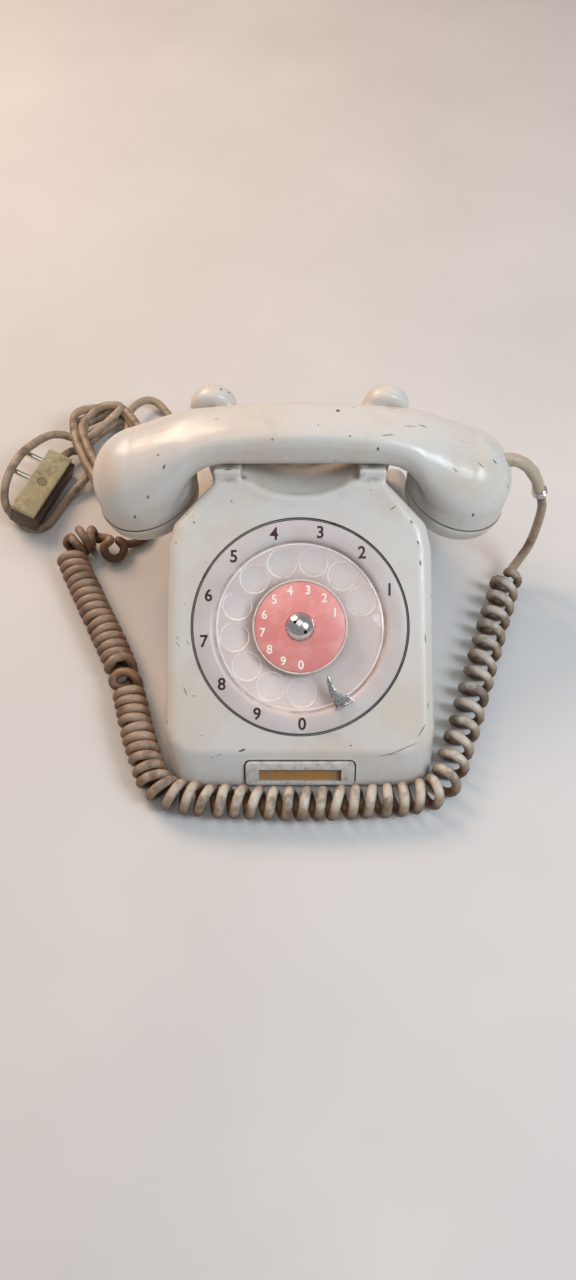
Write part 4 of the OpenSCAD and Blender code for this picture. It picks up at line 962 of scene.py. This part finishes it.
# Single worn spots and scratches, in mm: place, half length, half width, turn about the handset's long way
HAND_MARKS = [
    (19.9, 58.2, 126.8, 1.3, 1.1, 0), (-82.1, 26.8, 94.1, 0.8, 0.6, 0),
    (-72.3, 34.3, 109.5, 1.5, 0.7, 1.0), (40.7, 38.1, 119, 0.8, 0.7, 0),
    (-90.8, 24.3, 80.4, 1.2, 0.6, 0.5), (95.2, 24.6, 81.7, 0.9, 0.6, 0),
    (105.8, 44.4, 102.5, 3.4, 0.5, -0.6), (58.1, 51.8, 121.9, 4.5, 0.3, 0.15),
    (65.3, 53.6, 120.2, 3, 0.4, -0.2), (82.5, 34.6, 106.8, 4, 0.3, -0.4), (115.1, 40, 88, 4, 0.4, -1.2),
    (25.8, 41.7, 124.9, 0.8, 0.5, 0), (45.9, 43.8, 123.4, 4, 0.3, 0.2),
    (49.3, 64.8, 122.3, 4.5, 0.3, 0.1), (-44.6, 55, 123.9, 0.6, 0.5, 0), (90, 50, 112, 4, 0.3, -0.45),
    (98, 40, 104.5, 4.5, 0.3, -0.5), (110.5, 43, 96, 2.5, 0.5, 0.9), (-75.6, 40, 112.5, 0.9, 0.5, 0.4)]
hand_marks = [((x / 1000, y / 1000, z / 1000), long / 1000, wide / 1000, turn)
              for x, y, z, long, wide, turn in HAND_MARKS]
set_in(handset, old_plastic("ivory_handset_plastic", IVORY, IVORY_YELLOW, 0.22, hand_marks, 1.0, SEAMS),
    "case_plastic", "handset", "handset_shell")

# ---------------- ear cap and mouth cap
# Turned and moulded caps screwed on the cups, each with rings of small round holes.
# A dark line of painted shade marks the seam.
CAP_H = 0.014
CAP_T = 0.0026
CAP_PROFILE = [
    (0, -CAP_H), (CUP_R - 0.0085, -CAP_H), (CUP_R - 0.0070, -CAP_H + 0.0001),
    (CUP_R - 0.0052, -CAP_H + 0.0006), (CUP_R - 0.0036, -CAP_H + 0.0015),
    (CUP_R - 0.0023, -CAP_H + 0.0030), (CUP_R - 0.0014, -CAP_H + 0.0046),
    (CUP_R - 0.0007, -CAP_H + 0.0070), (CUP_R - 0.0003, -CAP_H + 0.0095), (CUP_R, -0.0016),
    (CUP_R - 0.0003, -0.0010), (CUP_R - 0.0010, -0.0006), (CUP_R - SHELL_T - 0.0003, -0.0006),
    (CUP_R - SHELL_T - 0.0003, 0.004), (CUP_R - SHELL_T - 0.0021, 0.004),
    (CUP_R - SHELL_T - 0.0021, -CAP_H + 0.006), (CUP_R - 0.0070, -CAP_H + CAP_T), (0, -CAP_H + CAP_T)]
CAP_FINISH = old_plastic("ivory_cap_plastic", IVORY, IVORY_YELLOW, 0.24, (), 1.0, SEAMS)

for name, node, side, holes, hole_r in (("ear_cap_ivory", "ear_cap", -1, 6, 0.0011),
                                        ("mouth_cap_ivory", "mouth_cap", 1, 5, 0.0015)):
    cap_bm = bmesh.new()
    spin_profile(cap_bm, CAP_PROFILE, cup_place(side), 128)
    cap = as_piece(cap_bm, name)
    drill_bm = bmesh.new()
    rings = [(0.0055 * row, 2 * pi * i / (holes * row)) for row in (1, 2) for i in range(holes * row)]
    for r, angle in [(0, 0)] + rings:
        spin_profile(drill_bm, [(0, -CAP_H - 0.001), (hole_r + 0.0006, -CAP_H - 0.001),
            (hole_r, -CAP_H + 0.0003), (hole_r, -CAP_H + 0.005), (0, -CAP_H + 0.005)],
            cup_place(side) @ shift(r * cos(angle), r * sin(angle), 0), 20)
    cut_out(cap, as_piece(drill_bm, "cutter"))
    shade(cap, 35)
    set_in(cap, CAP_FINISH, "case_plastic", "handset", node)
dress(plain_finish("capsule_black", (0.03, 0.03, 0.03), 0.4), "receiver_capsule")
dress(worn_metal("capsule_metal", (0.62, 0.60, 0.56), 0.3), "transmitter_capsule")

# ---------------- handset cord, its bare lead
# A round flexible cord in a khaki rubber jacket, grey with handling and dirt.
# It comes out of a crimped ferrule at the right cup and drops to where the curls start.
CORD_D = 0.0054
EXIT_Z = 0.0945
FERRULE_FROM = Vector((0.138, HAND_Y, 0.070))
FERRULE_WAY = Vector((0.4, 0, -0.9))
FERRULE_TO = FERRULE_FROM + 0.0044 * FERRULE_WAY
LEAD_ROUTE = [FERRULE_TO, (0.143, 0.053, 0.055), (0.143, 0.051, 0.040), (0.141, 0.048, 0.026),
    (0.136, 0.044, 0.015), (0.131, 0.039, 0.010)]


def follow(route, steps):
    """A smooth line through the points of a route, with a number of steps between two points."""
    points = [Vector(p) for p in route]
    points = [points[0]] + points + [points[-1]]
    line = []
    for a, b, c, d in zip(points, points[1:], points[2:], points[3:]):
        for k in range(steps):
            t = k / steps
            line.append(0.5 * (2 * b + (c - a) * t + (2 * a - 5 * b + 4 * c - d) * t * t
                               + (3 * b - a - 3 * c + d) * t ** 3))
    return line + [points[-1]]


def line_length(line):
    return sum((b - a).length for a, b in zip(line, line[1:]))


def cord_curve(name, line, diameter, radii=None):
    """A round cord along a line, as one open spline."""
    data = bpy.data.curves.new(name, "CURVE")
    data.dimensions = "3D"
    data.bevel_depth = diameter / 2
    data.bevel_resolution = 3
    data.use_fill_caps = True
    data.twist_mode = "MINIMUM"
    spline = data.splines.new("POLY")
    spline.points.add(len(line) - 1)
    for i, (point, at) in enumerate(zip(spline.points, line)):
        point.co = (*at, 1)
        point.radius = radii[i] if radii else 1.0
    piece = bpy.data.objects.new(name, data)
    scene.collection.objects.link(piece)
    return piece


CORD_KHAKI = (0.36, 0.27, 0.185)
CORD_BROWN = (0.10, 0.052, 0.028)
CORD_PALE = (0.55, 0.48, 0.39)
CORD_WARM_LIGHT_ORANGE = (0.23, 0.115, 0.052)


def cord_rubber(name, khaki, dirt_cover, painted_light_height=0.0, speckle=0.06):
    """Old rubber cord: khaki, with brown dirt and paler rubbed places; curls get painted shade below a height,
    a painted highlight above it and painted warm light on the left.
    """
    material, shader, place = new_material(name)
    dirt = clouds(place, 0.012, dirt_cover)
    rubbed = clouds(place, 0.007, 0.16)
    specks = clouds(place, 0.0016, speckle)
    colour = blend_colour(rubbed, khaki, CORD_PALE)
    # On the curls: painted warm light makes them orange towards the left, painted shade makes them browner
    # below the height, and a painted highlight makes them paler just above it, less so on the left.
    if painted_light_height:
        part = add_node(place, "SeparateXYZ", None, {0: place}).outputs
        deep = ramp(part[2], painted_light_height, painted_light_height - 0.006)
        left = ramp(part[0], -0.03, -0.1)
        colour = blend_colour(left, colour, CORD_WARM_LIGHT_ORANGE, 0.85)
        colour = blend_colour(deep, colour, CORD_BROWN, 0.9)
        high = ramp(part[2], painted_light_height, painted_light_height + 0.0035)
        high = scaled(high, scaled(clouds(place, 0.004, 0.45), 0.7, 0.3))
        high = scaled(high, scaled(left, -0.6, 0.85))
        colour = blend_colour(high, colour, (0.60, 0.545, 0.47))
    colour = blend_colour(dirt, colour, CORD_BROWN, 0.7)
    colour = blend_colour(specks, colour, (0.03, 0.016, 0.01), 0.8)
    feed(shader, {"Base Color": colour, "Roughness": scaled(dirt, 0.2, 0.42)})
    add_bump(shader, grain(place, 900.0, 3.0), 0.00012)
    return material


CORD_FINISH = cord_rubber("cord_khaki_rubber", CORD_KHAKI, 0.24)

lead_line = follow(LEAD_ROUTE, 6)
lead = settle(cord_curve("handset_cord_bare_lead", lead_line, CORD_D))
lead.data.shade_smooth()
lead.data.materials.append(CORD_FINISH)
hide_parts("handset_cord_lead")
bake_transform(lead)

# ---------------- handset cord, its sleeve and ferrule
# A thicker soft sleeve takes the strain where the cord leaves the right cup.
# A bright steel ferrule is crimped over its lower end.
SLEEVE_R = 0.0038
SLEEVE_ROUTE = [(0.112, HAND_Y, EXIT_Z), (0.1175, HAND_Y, EXIT_Z), (0.1225, HAND_Y, 0.093),
    (0.1285, HAND_Y, 0.088), (0.1345, HAND_Y, 0.079), FERRULE_FROM]

sleeve_line = follow(SLEEVE_ROUTE, 6)
sleeve_radii = [1.0 + 0.07 * cos(0.9 * i) * (i % 3 == 0) - 0.1 * i / len(sleeve_line)
                for i in range(len(sleeve_line))]
sleeve = settle(cord_curve("handset_cord_sleeve", sleeve_line, 2 * SLEEVE_R, sleeve_radii))
sleeve.data.shade_smooth()
set_in(sleeve, cord_rubber("sleeve_rubber", (0.47, 0.39, 0.29), 0.16), "cord_beige", "handset",
    "cord_sleeve")

ferrule_turn = FERRULE_WAY.to_track_quat("Z", "Y").to_matrix().to_4x4()
ferrule = lathe("handset_cord_ferrule", [
    (0.0027, -0.0004), (0.0040, -0.0004), (0.0044, 0.0001), (0.0044, 0.0009), (0.0040, 0.0013),
    (0.0040, 0.0022), (0.0044, 0.0026), (0.0044, 0.0035), (0.0040, 0.0042), (0.0027, 0.0044),
    (0.0027, -0.0004)], Matrix.Translation(FERRULE_FROM) @ ferrule_turn, 48)
set_in(ferrule, worn_metal("bright_plated_steel", (0.72, 0.71, 0.70), 0.14), "bright_metal", "handset",
    "cord_ferrule")

# ---------------- handset cord, its curls
# The same cord wound into a spring of about 60 turns, which lies round the front of the case.
# It is pulled open on the right, closer in front and tight on the left, where one curl is turned back.
CURL_R = 0.0070
CURL_Z = 0.010
CURL_ROUTE = [(0.131, 0.039), (0.122, 0.016), (0.105, -0.032), (0.088, -0.080), (0.076, -0.105),
    (0.056, -0.112), (0.028, -0.114), (0, -0.115), (-0.028, -0.114), (-0.056, -0.112),
    (-0.076, -0.105), (-0.088, -0.080), (-0.103, -0.032), (-0.127, 0.018), (-0.142, 0.050),
    (-0.1405, 0.059), (-0.134, 0.0655), (-0.126, 0.0665)]
LOOSE_LOOP = ((-0.1165, 0.0580, 0.0085), (0.178, -0.605, 0.775), 0.0062)
TAIL_ROUTE = [(-0.1085, 0.0650, 0.0045), (-0.099, 0.071, 0.0035), (-0.092, 0.089, 0.003),
    (-0.082, 0.106, 0.003), (-0.066, 0.116, 0.004), (-0.050, 0.115, 0.007), (-0.045, 0.104, 0.009)]
PITCHES = [(0.28, 0.34, 0.56, 0.66), (0.0112, 0.0088, 0.0088, 0.0060)]
PITCH_KINK = 0.015
KINKS = [((-0.1005, -0.038), 0.013, 75), ((-0.1405, 0.056), 0.010, 40)]
STEPS_PER_TURN = 18


def curl_line(route):
    """The centreline of the curls, round a line that lies on the table."""
    axis = follow([(x, y, CURL_Z) for x, y in route], 40)
    line = []
    turn = 0.0
    total = line_length(axis)
    done = 0.0
    wander = random.Random(7)
    loose = [wander.uniform(-1, 1) for _ in range(120)]
    for here, ahead in zip(axis, axis[1:]):
        way = (ahead - here).normalized()
        side = way.cross(Vector((0, 0, 1)))
        span = (ahead - here).length
        pitch = float(np.interp(done / total, *PITCHES))
        tip = 0.0
        for (x, y), near, angle in KINKS:
            weight = max(0.0, 1 - (here - Vector((x, y, CURL_Z))).length / near)
            weight = weight * weight * (3 - 2 * weight)
            pitch += (PITCH_KINK - pitch) * weight
            tip += radians(angle) * weight
        up = Vector((0, 0, cos(tip))) + way * sin(tip)
        pieces = max(1, round(STEPS_PER_TURN * span / pitch))
        for k in range(pieces):
            t = k / pieces
            phase = 2 * pi * turn
            near = min(1.0, (done + t * span) / 0.006, (total - done - t * span) / 0.006)
            swell = 1 + 0.035 * loose[int(turn) % 120]
            reach = CURL_R * near * min(swell, 1.0)
            lean = 0.0011 * loose[(int(turn) + 50) % 120]
            line.append(here + way * (span * t + lean * cos(phase))
                        + side * (reach * cos(phase)) + up * (reach * sin(phase)))
            turn += span / pieces / pitch
        done += span
    line.append(axis[-1])
    return line


def loose_loop(middle, normal, radius):
    """One free turn that faces a given way, as points from its upper left round to its upper right."""
    normal = Vector(normal).normalized()
    across = (Vector((1, 0, 0)) - normal * normal.x).normalized()
    up = normal.cross(across)
    return [Vector(middle) + radius * (across * cos(a) + up * sin(a)) + normal * (0.0034 - 0.0011 * k)
            for k, a in enumerate(radians(110 + 52 * k) for k in range(7))]


curls_line = curl_line(CURL_ROUTE)
handset_curls_line = curls_line + follow([curls_line[-1]] + loose_loop(*LOOSE_LOOP) + TAIL_ROUTE, 6)[1:]
curls = cord_curve("handset_cord_curls", handset_curls_line, CORD_D)
set_in(curls, cord_rubber("curls_khaki_rubber", CORD_KHAKI, 0.26, 0.0150, 0.11), "cord_beige", "body",
    "curly_cord", "curly_cord_tail")

# ---------------- line cord
# The cord to the wall, of the same old rubber, gathered into a loose bundle behind the left cup.
# Its last stretch is wrapped once round the plug before it goes into the plug's end.
LINE_ROUTE = [(0, 0.104, 0.009), (-0.003, 0.117, 0.006), (-0.026, 0.132, 0.0035), (-0.058, 0.143, 0.003),
    (-0.078, 0.160, 0.003), (-0.090, 0.179, 0.0045), (-0.0985, 0.1895, 0.0065), (-0.1065, 0.1905, 0.0085),
    (-0.1135, 0.183, 0.0105), (-0.117, 0.171, 0.012), (-0.1155, 0.150, 0.010), (-0.108, 0.125, 0.007)]
BUNDLE_MIDDLE = Vector((-0.123, 0.1385, 0))
BUNDLE_WAY = Vector((0.416, -0.909, 0))
BUNDLE_HALF = 0.0192
LOOP_ROUTE = [(-0.138, 0.121, 0.009), (-0.1414, 0.1172, 0.008), (-0.1473, 0.1107, 0.006),
    (-0.1525, 0.1046, 0.0045), (-0.1572, 0.0953, 0.0032), (-0.1608, 0.0872, 0.0028),
    (-0.1646, 0.0816, 0.00275), (-0.1702, 0.0793, 0.00275), (-0.1769, 0.081, 0.0032), (-0.1831, 0.0847, 0.006),
    (-0.1876, 0.0884, 0.0098), (-0.190, 0.0938, 0.014), (-0.1896, 0.101, 0.019),
    (-0.1876, 0.1094, 0.022), (-0.1847, 0.1186, 0.0229), (-0.1808, 0.1275, 0.0229),
    (-0.1756, 0.1353, 0.022), (-0.1704, 0.1416, 0.021), (-0.1647, 0.1458, 0.020),
    (-0.1583, 0.1476, 0.018), (-0.151, 0.1463, 0.016), (-0.146, 0.144, 0.014)]
PLUG_L = 0.055
PLUG_PLACE = shift(-0.1684, 0.1041, 0.0115) @ turned(72.7, "Z") @ turned(5, "Y") @ turned(18, "X")
PLUG_LEAD_ROUTE = [(-0.1465, 0.145, 0.008), (-0.1535, 0.1423, 0.008), (-0.1583, 0.1365, 0.0088),
    tuple(PLUG_PLACE @ Vector((PLUG_L / 2, 0, 0)))]


def bundle_turns(first, turns, radius, height, seed):
    """Points along the loose turns of the bundle, each a long loop with round ends."""
    wander = random.Random(seed)
    across = Vector((-BUNDLE_WAY.y, BUNDLE_WAY.x, 0))
    points = []
    steps = 14
    moves = [Vector((wander.uniform(-1, 1), wander.uniform(-1, 1), 0)) * 0.0022 for _ in range(turns + 2)]
    swell = [wander.uniform(-1, 1) * 0.0022 for _ in range(turns + 2)]
    for k in range(int(turns * steps) + 1):
        angle = first + 2 * pi * k / steps
        turn = k / steps
        low, part = int(turn), turn - int(turn)
        r = radius + swell[low] * (1 - part) + swell[low + 1] * part
        push = max(-1.0, min(1.0, 2.2 * cos(angle)))
        offset = moves[low] * (1 - part) + moves[low + 1] * part
        lift = max(CORD_D / 2, height(turn) + 0.0022 * sin(3 * angle + 1.3 * low))
        points.append(BUNDLE_MIDDLE + offset + BUNDLE_WAY * (BUNDLE_HALF * push + r * cos(angle))
                      + across * (r * sin(angle)) + Vector((0, 0, lift)))
    return points


outer_turns = bundle_turns(-0.5, 3, 0.0205, lambda turn: 0.0045 + 0.0048 * turn, 3)
inner_turns = bundle_turns(pi - 1.0, 2, 0.0165, lambda turn: 0.0185 - 0.0050 * turn, 11)
line_cord_line = follow(LINE_ROUTE + [tuple(p) for p in outer_turns] + LOOP_ROUTE
    + [tuple(p) for p in inner_turns] + PLUG_LEAD_ROUTE, 5)
line_cord = cord_curve("line_cord_rubber", line_cord_line, CORD_D)
set_in(line_cord, CORD_FINISH, "cord_beige", "body", "line_cord", "line_cord_hank", "line_cord_end")

# ---------------- wall plug
# A brown moulded block with two bright round blades in its side, under an olive enamelled plate.
# One screw through the plate holds it together; it lies on its own cord.


def eased_copy(name, node, width, finish, slot):
    """A CAD piece with its edges rounded off."""
    piece = as_piece(cad_copy(node), name)
    ease_edges(piece, width)
    set_in(piece, finish, slot, "body", node)
    return piece


def speckled(name, colour, dark, roughness):
    """An old enamelled or moulded surface, speckled and rubbed."""
    material, shader, place = new_material(name)
    tone = blend_colour(clouds(place, 0.0012, 0.22), colour, dark, 0.8)
    tone = blend_colour(clouds(place, 0.008, 0.25), tone, dark, 0.45)
    feed(shader, {"Base Color": tone, "Roughness": roughness})
    add_bump(shader, grain(place, 800.0), 0.00006)
    return material


plug_cover = eased_copy("plug_plate_olive", "plug_cover", 0.0008,
    speckled("plug_olive_enamel", (0.44, 0.385, 0.235), (0.17, 0.14, 0.075), 0.42), "plug_olive")
plug_base = eased_copy("plug_block_brown", "plug_base", 0.0009,
    speckled("plug_brown_phenolic", (0.050, 0.022, 0.013), (0.11, 0.06, 0.035), 0.34), "plug_brown")
dress(worn_metal("blade_brass", (0.80, 0.76, 0.66), 0.2, 0.2), "plug_pins")
dress(speckled("dirty_screw", (0.27, 0.23, 0.135), (0.05, 0.035, 0.02), 0.5), "plug_screw")
dress(cord_rubber("gland_rubber", (0.16, 0.12, 0.085), 0.25), "line_cord_gland", "handset_cord_gland")
